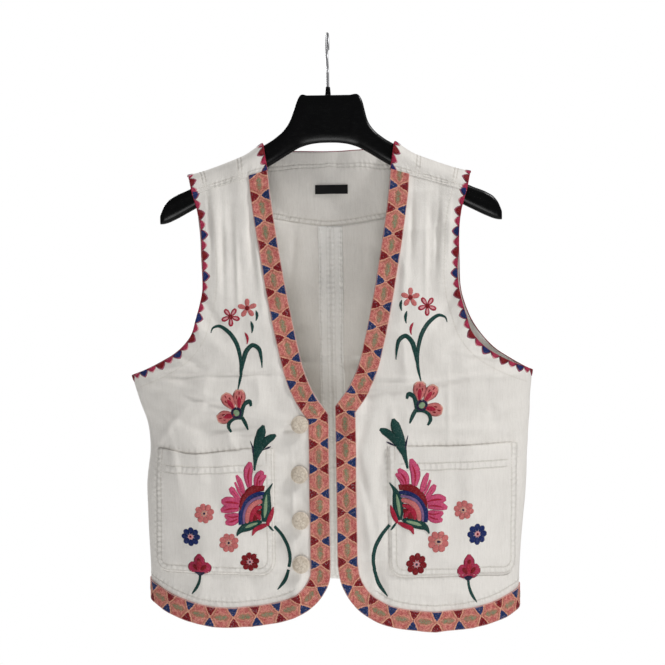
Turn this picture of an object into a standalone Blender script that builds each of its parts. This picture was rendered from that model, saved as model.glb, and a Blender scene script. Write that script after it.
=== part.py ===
"""Embroidered waistcoat on a plastic hanger, as closed solids ready for assembly.

The waistcoat is cut from two fronts, two backs and one yoke that folds over both
shoulders. A border band is sewn along the fronts and the hem, and each front carries
a patch pocket. Sizes are in millimetres and become metres when a mesh is made. The
origin is at the inner top of the hook's bend, +Z is up and the fronts face -Y.

One soft form holds all the cloth. At each height the body is a flattened ring with a
half width and a front and a back depth, and the shoulders are a rounded ridge above
it. A panel is laid out flat, as arc length from the centre line against height, and
then wrapped round that form.
"""
import math
from collections import namedtuple

import bmesh
import bpy
import numpy as np
from mathutils import Vector

MODEL = "embroidered_waistcoat"
METRES = 0.001

# Cloth walls and the gaps between layers
PANEL_WALL = 1.5
BAND_WALL = 1.0
POCKET_WALL = 1.2
STRIP_WALL = 0.8
LABEL_WALL = 0.5
SEAM_GAP = 0.4
SIDE_SEAM_GAP = 0.5
LAYER_GAP = 0.35

# Body sections: half width, and how far front and back stand off the side seams
Level = namedtuple("Level", "z half_width front back")
LEVELS = (
    Level(-90, 292, 21, 23),
    Level(-165, 288, 23, 27),
    Level(-210, 281, 27, 32),
    Level(-260, 272, 32, 39),
    Level(-320, 258, 39, 46),
    Level(-370, 246.5, 45, 52),
    Level(-404, 239.8, 48, 55),
    Level(-440, 232.4, 50, 58),
    Level(-465, 227.6, 51, 60),
    Level(-492, 225.8, 52, 61),
    Level(-530, 227, 53, 63),
    Level(-582, 224, 54, 66),
    Level(-624, 221, 55, 68),
    Level(-710, 219.5, 55, 70),
)
NOMINAL_FLATNESS = 0.22

# Shoulder ridge, from the centre line out, and the rounding over it
Ridge = namedtuple("Ridge", "x z")
RIDGE = (
    Ridge(0, -95),
    Ridge(40, -104),
    Ridge(80.4, -128.4),
    Ridge(100, -141.5),
    Ridge(120, -149.7),
    Ridge(139, -156.5),
    Ridge(154, -161.3),
    Ridge(169.8, -165),
    Ridge(240, -178),
)
RIDGE_ROUNDING = 20.0
NECK_HALF_WIDTH = 80.4
SHOULDER_OUT = 169.8

# Neck edge of the back, and the yoke's front and back seams
NECK_BACK_Z = -134.0
NECK_SIDE_Z = -128.4
FRONT_SEAM_IN = (72.8, -163.2)
FRONT_SEAM_OUT = (161.0, -190.0)
BACK_SEAM_CENTRE_Z = -224.0
BACK_SEAM_OUT = (163.0, -196.0)
BACK_SEAM_CURVE = 1.3

# Front edge: share of the drop from yoke seam to V corner, and share of the spread
VEdge = namedtuple("VEdge", "drop spread")
V_EDGE = (
    VEdge(0, 1),
    VEdge(0.156, 0.923),
    VEdge(0.344, 0.806),
    VEdge(0.55, 0.658),
    VEdge(0.714, 0.517),
    VEdge(0.837, 0.386),
    VEdge(0.922, 0.228),
    VEdge(1, 0),
)
# Rounded lower corner and dipped hem of a front, after the straight edge
HemPoint = namedtuple("HemPoint", "x z")
FRONT_HEM = (
    HemPoint(6.3, -640.5),
    HemPoint(13.4, -656),
    HemPoint(25.6, -670.5),
    HemPoint(43.6, -682),
    HemPoint(66.5, -690),
    HemPoint(92, -694.6),
    HemPoint(120.5, -697.4),
    HemPoint(146, -696.6),
    HemPoint(173, -691.4),
    HemPoint(198, -683),
    HemPoint(213, -675.6),
)
EDGE_STRAIGHT_END_Z = -622.0
SIDE_HEM_Z = -671.8

# Armholes, from the yoke seam down to the armpit
ArmholePoint = namedtuple("ArmholePoint", "x z")
FRONT_ARMHOLE = (
    ArmholePoint(153, -220),
    ArmholePoint(149.8, -259),
    ArmholePoint(148.8, -300),
    ArmholePoint(156.5, -336.6),
    ArmholePoint(162.7, -356.4),
    ArmholePoint(175.4, -372.7),
    ArmholePoint(196.8, -386.9),
    ArmholePoint(221, -397.5),
)
BACK_ARMHOLE = (
    ArmholePoint(159.2, -225),
    ArmholePoint(158.5, -260),
    ArmholePoint(162.8, -312.6),
    ArmholePoint(180, -353),
    ArmholePoint(200, -377),
    ArmholePoint(221, -392),
)
ARMPIT_Z = -403.8

# What differs between the two fronts; side is -1 on the left as seen from the front
Front = namedtuple("Front", "name side edge_x corner_z pocket_in pocket_out")
FRONTS = (
    Front("left", -1, 5.0, -449.7, 69.3, 209.4),
    Front("right", 1, 3.1, -440.3, 62.6, 212.0),
)
POCKET_TOP_Z = -488.5
POCKET_BOTTOM_Z = -634.5
POCKET_MOUTH_GAPE = 1.6
BACK_HEM_RISE = 6.0
BAND_WIDTH = 23.0
STRIP_HALF_WIDTH = 15.0

# Largest soft folds: a ridge (or trough) leans from upright and fades along its reach
Fold = namedtuple("Fold", "face x z lean breadth reach height")
FOLDS = (
    Fold("front", -134, -250, 3, 7, 60, 2.2),
    Fold("front", -116, -235, 3, 6, 45, -1.6),
    Fold("front", -101, -255, 4, 8, 70, 1.8),
    Fold("front", 104, -250, -3, 8, 60, 1.8),
    Fold("front", 119, -240, -4, 6, 55, -1.8),
    Fold("front", 133, -250, -5, 7, 60, 2.2),
    Fold("front", -182, -428, 62, 13, 48, 3.2),
    Fold("front", -165, -462, 70, 12, 50, -2.2),
    Fold("front", 180, -424, -66, 13, 52, 3.2),
    Fold("front", 168, -460, -72, 12, 50, -2.0),
    Fold("front", 118, -372, -38, 12, 60, 2.4),
    Fold("front", -112, -380, 30, 13, 50, 2.0),
    Fold("front", -160, -560, 6, 18, 70, 2.6),
    Fold("front", -52, -560, -3, 12, 90, -1.8),
    Fold("front", 46, -560, 7, 12, 95, 2.6),
    Fold("front", 160, -560, -8, 18, 75, 2.6),
    Fold("back", -62, -320, -6, 20, 85, 3.4),
    Fold("back", 74, -335, 8, 18, 80, 3.0),
    Fold("back", -138, -350, 24, 17, 70, 3.0),
    Fold("back", 142, -345, -22, 18, 70, 3.2),
    Fold("back", -105, -540, 4, 24, 105, 4.0),
    Fold("back", 96, -560, -5, 26, 110, 3.8),
    Fold("back", -180, -470, 58, 15, 55, 2.6),
    Fold("back", 184, -462, -55, 15, 55, 2.8),
)

# Cells across and down the panels
FRONT_COLUMNS = (3, 9, 2)
BACK_COLUMNS = (1, 12)
ARMHOLE_ROWS = 14
V_END_ROWS = 2
WAIST_ROWS = 3
POCKET_ROWS = 8
HEM_ROWS = 3
CORNER_SHARE = 0.13
BACK_ARMHOLE_ROWS = 10
BACK_BODY_ROWS = 12
SIDE_CELL = 1.2
BAND_CELLS = 2
POCKET_TURN = 5
NECK_COLUMNS = 5
SHOULDER_COLUMNS = 6
YOKE_BACK_ROWS = (0, 0.1, 0.2, 0.3, 0.4, 0.6, 0.8, 1)
YOKE_FRONT_ROWS = (0.17, 0.34, 0.51, 0.68, 1)
FRONT_ARMPIT_ROW_Z = -421.0
CURVE_SAMPLES = 900

# Buttons, down the left front beside the band
BUTTON_X = -38.4
BUTTON_ZS = (-461.6, -518.9, -571.1, -621.0)
BUTTON_SEAT = 0.35
ButtonPoint = namedtuple("ButtonPoint", "radius height")
BUTTON_PROFILE = (
    ButtonPoint(0, 7.6),
    ButtonPoint(4.2, 7.2),
    ButtonPoint(7.6, 6.2),
    ButtonPoint(9.6, 4.9),
    ButtonPoint(10.25, 3.9),
    ButtonPoint(9.7, 3.1),
    ButtonPoint(8.3, 2.8),
    ButtonPoint(3.0, 2.6),
    ButtonPoint(2.6, 2.0),
    ButtonPoint(2.6, 0),
    ButtonPoint(0, 0),
)
BUTTON_STEPS = 16

# Blank woven label inside the back of the neck
LABEL_CENTRE = (2.5, -180.7)
LABEL_SIZE = (40.0, 11.0)
LABEL_BOW = 2.0

# Hanger: top and bottom lines of the body, with its half thickness
Station = namedtuple("Station", "x top bottom half_thickness")
HANGER = (
    Station(0, -71.2, -128.0, 4.5),
    Station(12, -71.2, -128.4, 4.5),
    Station(24, -71.2, -130.2, 4.6),
    Station(32.5, -71.6, -132.8, 4.7),
    Station(35.5, -76.5, -134.0, 4.8),
    Station(40, -88, -136.4, 5.0),
    Station(45.5, -100.5, -139.6, 5.2),
    Station(53.7, -112.8, -144.6, 5.5),
    Station(63.7, -121.8, -150.8, 5.8),
    Station(80, -132.0, -160.0, 6.0),
    Station(100, -143.6, -171.2, 6.0),
    Station(125, -158.0, -185.0, 6.0),
    Station(150, -172.3, -198.9, 6.0),
    Station(170, -183.4, -209.9, 6.0),
    Station(186.5, -191.4, -218.6, 5.8),
    Station(194.5, -198.6, -221.6, 5.2),
    Station(199.6, -207.6, -222.2, 4.2),
    Station(202.4, -215.0, -221.6, 2.4),
)
HANGER_SIDES = 12
HANGER_SQUARENESS = 3.0

# Hook: a wire that leans back, rounds over the rail and comes down in front
WIRE_RADIUS = 1.75
HOOK_RADIUS = 17.0
HOOK_STEM_FOOT_Z = -70.9
HOOK_BEND_RADIUS = 12.0
HOOK_LEAN = math.radians(40)
HOOK_END = math.radians(-112)
HOOK_TURN = math.radians(2.6)
FERRULE_RADII = (2.05, 3.3)
FERRULE_ZS = (-70.9, -59.0)
FERRULE_EDGE = 0.5

COLOURS = {
    "cloth": (0.76, 0.72, 0.66),
    "border": (0.66, 0.22, 0.17),
    "button": (0.66, 0.58, 0.48),
    "black": (0.012, 0.012, 0.013),
    "steel": (0.55, 0.55, 0.56),
}
ROUGHNESS = {"cloth": 0.85, "border": 0.75, "button": 0.4, "black": 0.25, "steel": 0.3}


# ------------------------------------------------------------------ tables and curves
def smooth_lookup(keys, values, at):
    """Read a table as a smooth curve: a cubic through its rows, straight beyond them."""
    keys = np.asarray(keys, float)
    values = np.asarray(values, float)
    if keys[0] > keys[-1]:
        keys, values = keys[::-1], values[::-1]
    slopes = np.gradient(values, keys)
    at = np.asarray(at, float)
    inside = np.clip(at, keys[0], keys[-1])
    i = np.clip(np.searchsorted(keys, inside, side="right") - 1, 0, len(keys) - 2)
    span = keys[i + 1] - keys[i]
    t = (inside - keys[i]) / span
    start = values[i] * (1 + 2 * t) * (1 - t) ** 2 + slopes[i] * span * t * (1 - t) ** 2
    end = values[i + 1] * t * t * (3 - 2 * t) + slopes[i + 1] * span * t * t * (t - 1)
    beyond = (at - inside) * np.where(at < keys[0], slopes[0], slopes[-1])
    return start + end + beyond


def length_along(path):
    """Length of a polyline up to each of its points."""
    return np.r_[0, np.cumsum(np.hypot(*np.diff(path, axis=0).T))]


def smooth_path(points):
    """A dense polyline on a smooth curve through the points."""
    points = np.asarray(points, float)
    along = length_along(points)
    at = np.linspace(0, along[-1], CURVE_SAMPLES)
    return np.column_stack([smooth_lookup(along, column, at) for column in points.T])


def point_on(path, share):
    """Points at shares (0 to 1) of a polyline's length."""
    along = length_along(path)
    at = np.asarray(share) * along[-1]
    return np.column_stack([np.interp(at, along, column) for column in path.T])


def share_at_z(path, z):
    """Share of a falling polyline's length where it reaches the height z."""
    along = length_along(path)
    return np.interp(-z, -path[:, 1], along) / along[-1]


# ------------------------------------------------------------------ the cloth's form
def level(column, z):
    """A column of the body sections at height z."""
    return smooth_lookup([row.z for row in LEVELS], [getattr(row, column) for row in LEVELS], z)


def ring_table():
    """Arc length round a unit quarter ring against its width; x = sin^(2/3), y = cos."""
    turn = np.linspace(0, 1, CURVE_SAMPLES) ** 1.5 * math.pi / 2
    across = np.sin(turn) ** (2 / 3)
    forward = NOMINAL_FLATNESS * np.cos(turn)
    return across, length_along(np.column_stack([across, forward]))


RING_ACROSS, RING_LENGTH = ring_table()


def flat_from_front(points):
    """Turn (x, z) as seen from the front into (arc length from the centre, z)."""
    points = np.asarray(points, float)
    half_width = level("half_width", points[:, 1])
    arc = np.interp(points[:, 0] / half_width, RING_ACROSS, RING_LENGTH) * half_width
    return np.column_stack([arc, points[:, 1]])


def side_arc(z):
    """Arc length from the centre line to the side seam at height z."""
    return RING_LENGTH[-1] * level("half_width", z)


def fold_height(face, x, z):
    """Sum of the soft ridges and troughs of one face."""
    height = np.zeros(np.broadcast(x, z).shape)
    for fold in FOLDS:
        if fold.face != face:
            continue
        lean = math.radians(fold.lean)
        across = (x - fold.x) * math.cos(lean) + (z - fold.z) * math.sin(lean)
        along = (z - fold.z) * math.cos(lean) - (x - fold.x) * math.sin(lean)
        height += fold.height * np.exp(-((across / fold.breadth) ** 2) - (along / fold.reach) ** 2)
    return height


def body_point(face, side, arc, z):
    """Wrap flat (arc, z) round the body: the ring's depth plus the folds."""
    half_width = level("half_width", z)
    past_seam = arc > RING_LENGTH[-1] * half_width
    arc = np.where(past_seam, 2 * RING_LENGTH[-1] * half_width - arc, arc)
    across = np.interp(arc / half_width, RING_LENGTH, RING_ACROSS)
    x = side * half_width * across
    depth = level(face, z) + fold_height(face, x, z)
    y = depth * np.sqrt(np.clip(1 - np.abs(across) ** 3, 0, 1)) * np.where(past_seam, -1, 1)
    return np.stack([x, y * (-1 if face == "front" else 1), z + 0 * x], axis=-1)


def shoulder_point(face, x, run):
    """A point on the yoke: run is the way down from the ridge, round its rounding first."""
    quarter = RIDGE_ROUNDING * math.pi / 2
    turn = np.clip(run / RIDGE_ROUNDING, 0, math.pi / 2)
    fall = RIDGE_ROUNDING * (1 - np.cos(turn)) + np.maximum(run - quarter, 0)
    z = ridge_z(x) - fall
    depth = (level(face, z) + fold_height(face, x, z)) * np.sin(turn)
    y = depth * np.sqrt(1 - np.abs(x / level("half_width", z)) ** 3)
    return np.stack([x + 0 * z, y * (-1 if face == "front" else 1), z], axis=-1)


def ridge_z(x):
    """Height of the shoulder ridge at x."""
    return smooth_lookup([row.x for row in RIDGE], [row.z for row in RIDGE], np.abs(x))


def run_to(x, z):
    """The run from the ridge down to height z at x."""
    fall = np.maximum(ridge_z(x) - z, 0)
    rounded = RIDGE_ROUNDING * np.arccos(np.clip(1 - fall / RIDGE_ROUNDING, -1, 1))
    straight = fall - RIDGE_ROUNDING + RIDGE_ROUNDING * math.pi / 2
    return np.where(fall < RIDGE_ROUNDING, rounded, straight)


def normals_of(surface, u, v, towards, step=0.02):
    """Unit normals of surface(u, v) on the side that the direction points to."""
    along_u = surface(u + step, v) - surface(u - step, v)
    along_v = surface(u, v + step) - surface(u, v - step)
    normals = np.cross(along_u, along_v)
    normals /= np.linalg.norm(normals, axis=-1, keepdims=True)
    facing = np.sum(normals * towards, axis=-1, keepdims=True)
    return normals * np.where(facing < 0, -1, 1)


def wrap(face, side, flat, lift=0.0):
    """Wrap a grid of flat (arc, z) points round the body, moved out by the lift."""
    def surface(arc, z):
        return body_point(face, side, arc, z)

    points = surface(flat[..., 0], flat[..., 1])
    towards = (side, -1 if face == "front" else 1, 0)
    normals = normals_of(surface, flat[..., 0], flat[..., 1], towards)
    return points + normals * np.asarray(lift)[..., None]


# ------------------------------------------------------------------ laying out panels
def coons(top, bottom, left, right):
    """Fill the grid between four edges, each an array of (arc, z) points."""
    u = np.linspace(0, 1, len(top))[None, :, None]
    v = np.linspace(0, 1, len(left))[:, None, None]
    ruled = (1 - v) * top[None] + v * bottom[None]
    left_error = left[:, None] - ruled[:, :1]
    right_error = right[:, None] - ruled[:, -1:]
    return ruled + (1 - u) * left_error + u * right_error


def stacked(blocks):
    """Join grids whose last and first rows are the same."""
    return np.concatenate([blocks[0], *[block[1:] for block in blocks[1:]]])


def with_side_cell(grid):
    """Add a narrow last column, so that the wall ends square to the side seam."""
    last = grid[:, -1]
    inward = grid[:, -2] - last
    near = last + inward * SIDE_CELL / np.linalg.norm(inward, axis=1, keepdims=True)
    return np.concatenate([grid[:, :-1], near[:, None], last[:, None]], axis=1)


def side_seam(start_z, end_z, rows):
    """Flat points down the side seam."""
    z = np.linspace(start_z, end_z, rows + 1)
    return np.column_stack([side_arc(z) - SIDE_SEAM_GAP / 2, z])


def inset(path, width):
    """Move a polyline towards its left hand by a width, mitred where it turns."""
    steps = np.diff(path, axis=0)
    steps /= np.linalg.norm(steps, axis=1, keepdims=True)
    mean = (np.vstack([steps[:1], steps]) + np.vstack([steps, steps[-1:]])) / 2
    length = np.linalg.norm(mean, axis=1, keepdims=True)
    leftward = np.column_stack([-mean[:, 1], mean[:, 0]]) / length
    return path + leftward * width / length


def armhole_edge(seam_out, rows, count):
    """Flat points down an armhole, even by length, from the yoke seam to the armpit."""
    armpit = (float(level("half_width", ARMPIT_Z)), ARMPIT_Z)
    start = (seam_out[0], seam_out[1] - SEAM_GAP)
    path = flat_from_front(smooth_path([start, *[(row.x, row.z) for row in rows], armpit]))
    path[-1, 0] -= SIDE_SEAM_GAP / 2
    return point_on(path, np.linspace(0, 1, count + 1))


def front_edge_stations(front):
    """Flat points down the V, the straight edge and round the corner to the side."""
    top_x, top_z = FRONT_SEAM_IN
    drop = np.linspace(0, 1, CURVE_SAMPLES)
    spread = smooth_lookup([row.drop for row in V_EDGE], [row.spread for row in V_EDGE], drop)
    v_part = flat_from_front(np.column_stack([
        front.edge_x + (top_x - front.edge_x) * spread,
        top_z - SEAM_GAP + (front.corner_z - top_z) * drop]))
    armpit_share = share_at_z(v_part, FRONT_ARMPIT_ROW_Z)
    chest = point_on(v_part, np.linspace(0, armpit_share, ARMHOLE_ROWS + 1))
    above_corner = point_on(v_part, np.linspace(armpit_share, 1, V_END_ROWS + 1))[1:]
    heights = (front.corner_z, POCKET_TOP_Z, EDGE_STRAIGHT_END_Z)
    straight = [np.linspace(top, bottom, rows + 1)[1:] for top, bottom, rows in
                zip(heights, heights[1:], (WAIST_ROWS, POCKET_ROWS))]
    edge_z = np.concatenate(straight)
    edge = np.column_stack([np.full(len(edge_z), front.edge_x), edge_z])
    side_end = (float(level("half_width", SIDE_HEM_Z)), SIDE_HEM_Z)
    hem = [(front.edge_x, EDGE_STRAIGHT_END_Z), *[(row.x, row.z) for row in FRONT_HEM], side_end]
    curve = flat_from_front(smooth_path(hem))
    curve[-1, 0] -= SIDE_SEAM_GAP / 2
    corner = point_on(curve, np.linspace(0, CORNER_SHARE, HEM_ROWS + 1))[1:]
    along_hem = point_on(curve, np.linspace(CORNER_SHARE, 1, sum(FRONT_COLUMNS) + 1))[1:]
    return np.vstack([chest, above_corner, edge, corner, along_hem])


def front_layout(front):
    """The flat grids of a front: the border strip along its edge, and the rest."""
    edge = front_edge_stations(front)
    inner = inset(edge, BAND_WIDTH)
    seam = np.subtract(FRONT_SEAM_OUT, FRONT_SEAM_IN)
    inner[0] = edge[0] + seam / np.linalg.norm(seam) * BAND_WIDTH
    inner[-1] = side_seam(SIDE_HEM_Z + BAND_WIDTH, SIDE_HEM_Z + BAND_WIDTH, 0)[0]
    across = np.linspace(0, 1, BAND_CELLS + 1)[:, None, None]
    strip = edge[None] + (inner - edge)[None] * across

    rows = np.cumsum([ARMHOLE_ROWS, V_END_ROWS + WAIST_ROWS, POCKET_ROWS, HEM_ROWS])
    armhole = armhole_edge(FRONT_SEAM_OUT, FRONT_ARMHOLE, ARMHOLE_ROWS)
    pocket_rows = []
    for row, z in ((rows[1], POCKET_TOP_Z), (rows[2], POCKET_BOTTOM_Z)):
        stops = flat_from_front([(front.pocket_in, z), (front.pocket_out, z)])
        knots = [inner[row], *stops, side_seam(z, z, 0)[0]]
        pocket_rows.append(np.vstack([
            *[np.linspace(a, b, n, endpoint=False) for a, b, n in
              zip(knots, knots[1:], FRONT_COLUMNS)], knots[-1][None]]))
    shares = (pocket_rows[0][:, :1] - pocket_rows[0][0, 0]) / np.ptp(pocket_rows[0][:, 0])
    top = inner[0] + (armhole[0] - inner[0]) * shares
    armpit = inner[rows[0]] + (armhole[-1] - inner[rows[0]]) * shares
    hem_z = float(inner[-1, 1])
    rest = stacked([
        coons(top, armpit, inner[:rows[0] + 1], armhole),
        coons(armpit, pocket_rows[0], inner[rows[0]:rows[1] + 1],
              side_seam(ARMPIT_Z, POCKET_TOP_Z, rows[1] - rows[0])),
        coons(*pocket_rows, inner[rows[1]:rows[2] + 1],
              side_seam(POCKET_TOP_Z, POCKET_BOTTOM_Z, POCKET_ROWS)),
        coons(pocket_rows[1], inner[rows[3]:], inner[rows[2]:rows[3] + 1],
              side_seam(POCKET_BOTTOM_Z, hem_z, HEM_ROWS)),
    ])
    first = FRONT_COLUMNS[0]
    pocket = rest[rows[1]:rows[2] + 1, first:first + FRONT_COLUMNS[1] + 1]
    return with_side_cell(strip), with_side_cell(rest), pocket


def back_layout():
    """The flat grids of a back: the rest down to the border strip, and the strip."""
    armhole = armhole_edge(BACK_SEAM_OUT, BACK_ARMHOLE, BACK_ARMHOLE_ROWS)
    columns = sum(BACK_COLUMNS)

    def row(end, start_z):
        knots = [(SEAM_GAP / 2, start_z), (STRIP_HALF_WIDTH, start_z), tuple(end)]
        return np.vstack([*[np.linspace(a, b, n, endpoint=False) for a, b, n in
                            zip(knots, knots[1:], BACK_COLUMNS)], knots[-1]])

    top = row(armhole[0], BACK_SEAM_CENTRE_Z)
    top[:, 1] = back_seam_z(top[:, 0]) - SEAM_GAP
    armpit = row(armhole[-1], ARMPIT_Z)
    strip_z = SIDE_HEM_Z + BAND_WIDTH
    strip_top = row(side_seam(strip_z, strip_z, 0)[0], strip_z)
    hem = row(side_seam(SIDE_HEM_Z, SIDE_HEM_Z, 0)[0], SIDE_HEM_Z)
    for line in (strip_top, hem):
        line[:, 1] += BACK_HEM_RISE * np.cos(np.linspace(0, math.pi / 2, columns + 1)) ** 2

    def centre_line(start_z, end_z, rows):
        z = np.linspace(start_z, end_z, rows + 1)
        return np.column_stack([np.full(rows + 1, SEAM_GAP / 2), z])

    rest = stacked([
        coons(top, armpit, centre_line(top[0, 1], ARMPIT_Z, BACK_ARMHOLE_ROWS), armhole),
        coons(armpit, strip_top, centre_line(ARMPIT_Z, strip_top[0, 1], BACK_BODY_ROWS),
              side_seam(ARMPIT_Z, strip_z, BACK_BODY_ROWS)),
    ])
    down = np.linspace(0, 1, BAND_CELLS + 1)[:, None, None]
    strip = strip_top[None] + (hem - strip_top)[None] * down
    return with_side_cell(strip), with_side_cell(rest)


def back_seam_z(x):
    """Height of the seam between the yoke and the backs."""
    rise = BACK_SEAM_OUT[1] - BACK_SEAM_CENTRE_Z
    return BACK_SEAM_CENTRE_Z + rise * np.abs(x / BACK_SEAM_OUT[0]) ** BACK_SEAM_CURVE


def yoke_grids():
    """The yoke's grids: its back from side to side, and a front flap over each shoulder."""
    at_ridge = np.r_[np.linspace(0, NECK_HALF_WIDTH, NECK_COLUMNS + 1),
                     np.linspace(NECK_HALF_WIDTH, SHOULDER_OUT, SHOULDER_COLUMNS + 1)[1:]]
    at_seam = at_ridge * BACK_SEAM_OUT[0] / SHOULDER_OUT
    x_top = np.r_[-at_ridge[:0:-1], at_ridge]
    x_seam = np.r_[-at_seam[:0:-1], at_seam]
    share = np.asarray(YOKE_BACK_ROWS)[:, None]
    x = x_top + (x_seam - x_top) * share
    neck_z = NECK_BACK_Z + (NECK_SIDE_Z - NECK_BACK_Z) * (x_top / NECK_HALF_WIDTH) ** 4
    neck_run = np.where(np.abs(x_top) < NECK_HALF_WIDTH - SIDE_CELL, run_to(x_top, neck_z), 0)
    seam_run = run_to(x_seam, back_seam_z(x_seam))
    grids = [shoulder_point("back", x, neck_run + (seam_run - neck_run) * share)]
    share = np.r_[0, YOKE_FRONT_ROWS][:, None]
    x_top = at_ridge[NECK_COLUMNS:]
    x_seam = np.linspace(FRONT_SEAM_IN[0], FRONT_SEAM_OUT[0], SHOULDER_COLUMNS + 1)
    seam_z = np.linspace(FRONT_SEAM_IN[1], FRONT_SEAM_OUT[1], SHOULDER_COLUMNS + 1)
    x = x_top + (x_seam - x_top) * share
    run = run_to(x_seam, seam_z) * share
    return grids + [shoulder_point("front", side * x, run) for side in (-1, 1)]


# ------------------------------------------------------------------ making the objects
def principled(name):
    """The Principled material of one colour name."""
    material = bpy.data.materials.get(name)
    if material:
        return material
    material = bpy.data.materials.new(name)
    material.use_nodes = True
    shader = material.node_tree.nodes["Principled BSDF"]
    shader.inputs["Base Color"].default_value = (*COLOURS[name], 1)
    shader.inputs["Roughness"].default_value = ROUGHNESS[name]
    shader.inputs["Metallic"].default_value = 1.0 if name == "steel" else 0.0
    return material


def add_object(name, data, material, collection):
    """Link an object with its material."""
    obj = bpy.data.objects.new(name, data)
    data.materials.append(principled(material))
    collection.objects.link(obj)
    return obj


def grid_triangles(rows, columns, turn, cut_corners):
    """Corner indices of a grid's triangles; the diagonal turns at one column.

    With cut_corners the two bottom corner cells lose their outer triangle.
    """
    triangles = []
    for i in range(rows - 1):
        for j in range(columns - 1):
            a = i * columns + j
            b, c, d = a + 1, a + columns + 1, a + columns
            corner = cut_corners and i == rows - 2 and j in (0, columns - 2)
            pair = [(a, b, c), (a, c, d)] if j < turn else [(a, b, d), (b, c, d)]
            triangles += pair[:1] if corner else pair
    return triangles


def sheet(name, grids, wall, material, collection, outward=False, turns=None, cut_corners=False):
    """A cloth wall: grids of points joined at their shared edges, with Solidify."""
    mesh = bpy.data.meshes.new(name)
    shell = bmesh.new()
    for grid, turn in zip(grids, turns or [0] * len(grids)):
        vertices = [shell.verts.new(Vector(point) * METRES) for point in grid.reshape(-1, 3)]
        for triangle in grid_triangles(*grid.shape[:2], turn, cut_corners):
            shell.faces.new([vertices[k] for k in triangle])
    bmesh.ops.remove_doubles(shell, verts=shell.verts, dist=1e-6)
    bmesh.ops.recalc_face_normals(shell, faces=shell.faces)
    outwards = sum(face.calc_area() * face.normal.xy.dot(face.calc_center_median().xy)
                   for face in shell.faces)
    if outwards < 0:
        bmesh.ops.reverse_faces(shell, faces=shell.faces)
    shell.to_mesh(mesh)
    shell.free()
    mesh.shade_smooth()
    obj = add_object(name, mesh, material, collection)
    solid = obj.modifiers.new("Cloth wall", "SOLIDIFY")
    solid.thickness = wall * METRES
    solid.offset = 1.0 if outward else -1.0
    return obj


def make_fronts(collection):
    """Both fronts with what is sewn on them, from the same points moved out."""
    on_panel = LAYER_GAP
    for front in FRONTS:
        strip, rest, pocket = front_layout(front)
        turn = FRONT_COLUMNS[0] + POCKET_TURN
        sheet(f"front_{front.name}", [wrap("front", front.side, grid) for grid in (strip, rest)],
              PANEL_WALL, "cloth", collection, turns=(0, turn))
        sheet(f"border_front_{front.name}", [wrap("front", front.side, strip, on_panel)],
              BAND_WALL, "border", collection, outward=True)
        u = np.linspace(0, 1, pocket.shape[1])[None, :]
        v = np.linspace(1, 0, pocket.shape[0])[:, None]
        lift = on_panel + POCKET_MOUTH_GAPE * np.sin(math.pi * u) ** 2 * v ** 4
        sheet(f"pocket_{front.name}", [wrap("front", front.side, pocket, lift)], POCKET_WALL,
              "cloth", collection, outward=True, turns=(POCKET_TURN,), cut_corners=True)


def make_backs(collection):
    """Both backs, the border strip on their hem and the pressed-open seam strip inside."""
    inside = -(PANEL_WALL + LAYER_GAP)
    seam_halves = []
    for name, side in (("left", -1), ("right", 1)):
        strip, rest = back_layout()
        sheet(f"back_{name}", [wrap("back", side, rest), wrap("back", side, strip)],
              PANEL_WALL, "cloth", collection)
        sheet(f"border_back_{name}", [wrap("back", side, strip, LAYER_GAP)],
              BAND_WALL, "border", collection, outward=True)
        centre = np.concatenate([rest, strip[1:]])[:, :2]
        seam_halves.append(wrap("back", side, centre, inside))
    left, right = seam_halves
    sheet("back_seam_strip", [np.concatenate([left[:, ::-1], right], axis=1)],
          STRIP_WALL, "cloth", collection)


def make_yoke(collection):
    """The yoke over both shoulders, and the blank label inside its back."""
    sheet("yoke", yoke_grids(), PANEL_WALL, "cloth", collection)
    width, height = LABEL_SIZE
    across = np.linspace(-0.5, 0.5, 7)[None, :]
    down = np.linspace(0.5, -0.5, 3)[:, None]
    x = LABEL_CENTRE[0] + width * across + 0 * down
    z = LABEL_CENTRE[1] + height * down + 0 * across
    depth = level("back", z)
    bow = LABEL_BOW * (0.5 - down) * np.cos(math.pi * across) ** 2
    y = depth - PANEL_WALL - LAYER_GAP - bow
    sheet("label", [np.stack([x, y, z], axis=-1)], LABEL_WALL, "black", collection)


def make_buttons(collection):
    """Domed shank buttons, one turned profile, each square to the cloth under it."""
    profile = bpy.data.meshes.new("button")
    vertices = [(point.radius * METRES, 0, point.height * METRES) for point in BUTTON_PROFILE]
    profile.from_pydata(vertices, [(k, k + 1) for k in range(len(vertices) - 1)], [])
    for number, z in enumerate(BUTTON_ZS, start=1):
        arc = flat_from_front([(abs(BUTTON_X), z)])
        on_cloth = wrap("front", -1, arc)[0]
        seat = wrap("front", -1, arc, BUTTON_SEAT)[0]
        button = add_object(f"button_{number}", profile.copy(), "button", collection)
        button.location = Vector(seat) * METRES
        button.rotation_euler = Vector(seat - on_cloth).to_track_quat("Z", "Y").to_euler()
        turned(button)


def turned(obj):
    """Turn a profile into a closed body with Screw."""
    screw = obj.modifiers.new("Turned", "SCREW")
    screw.axis = "Z"
    screw.steps = screw.render_steps = BUTTON_STEPS
    screw.use_merge_vertices = True
    screw.merge_threshold = 0.00001
    screw.use_smooth_shade = True


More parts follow.
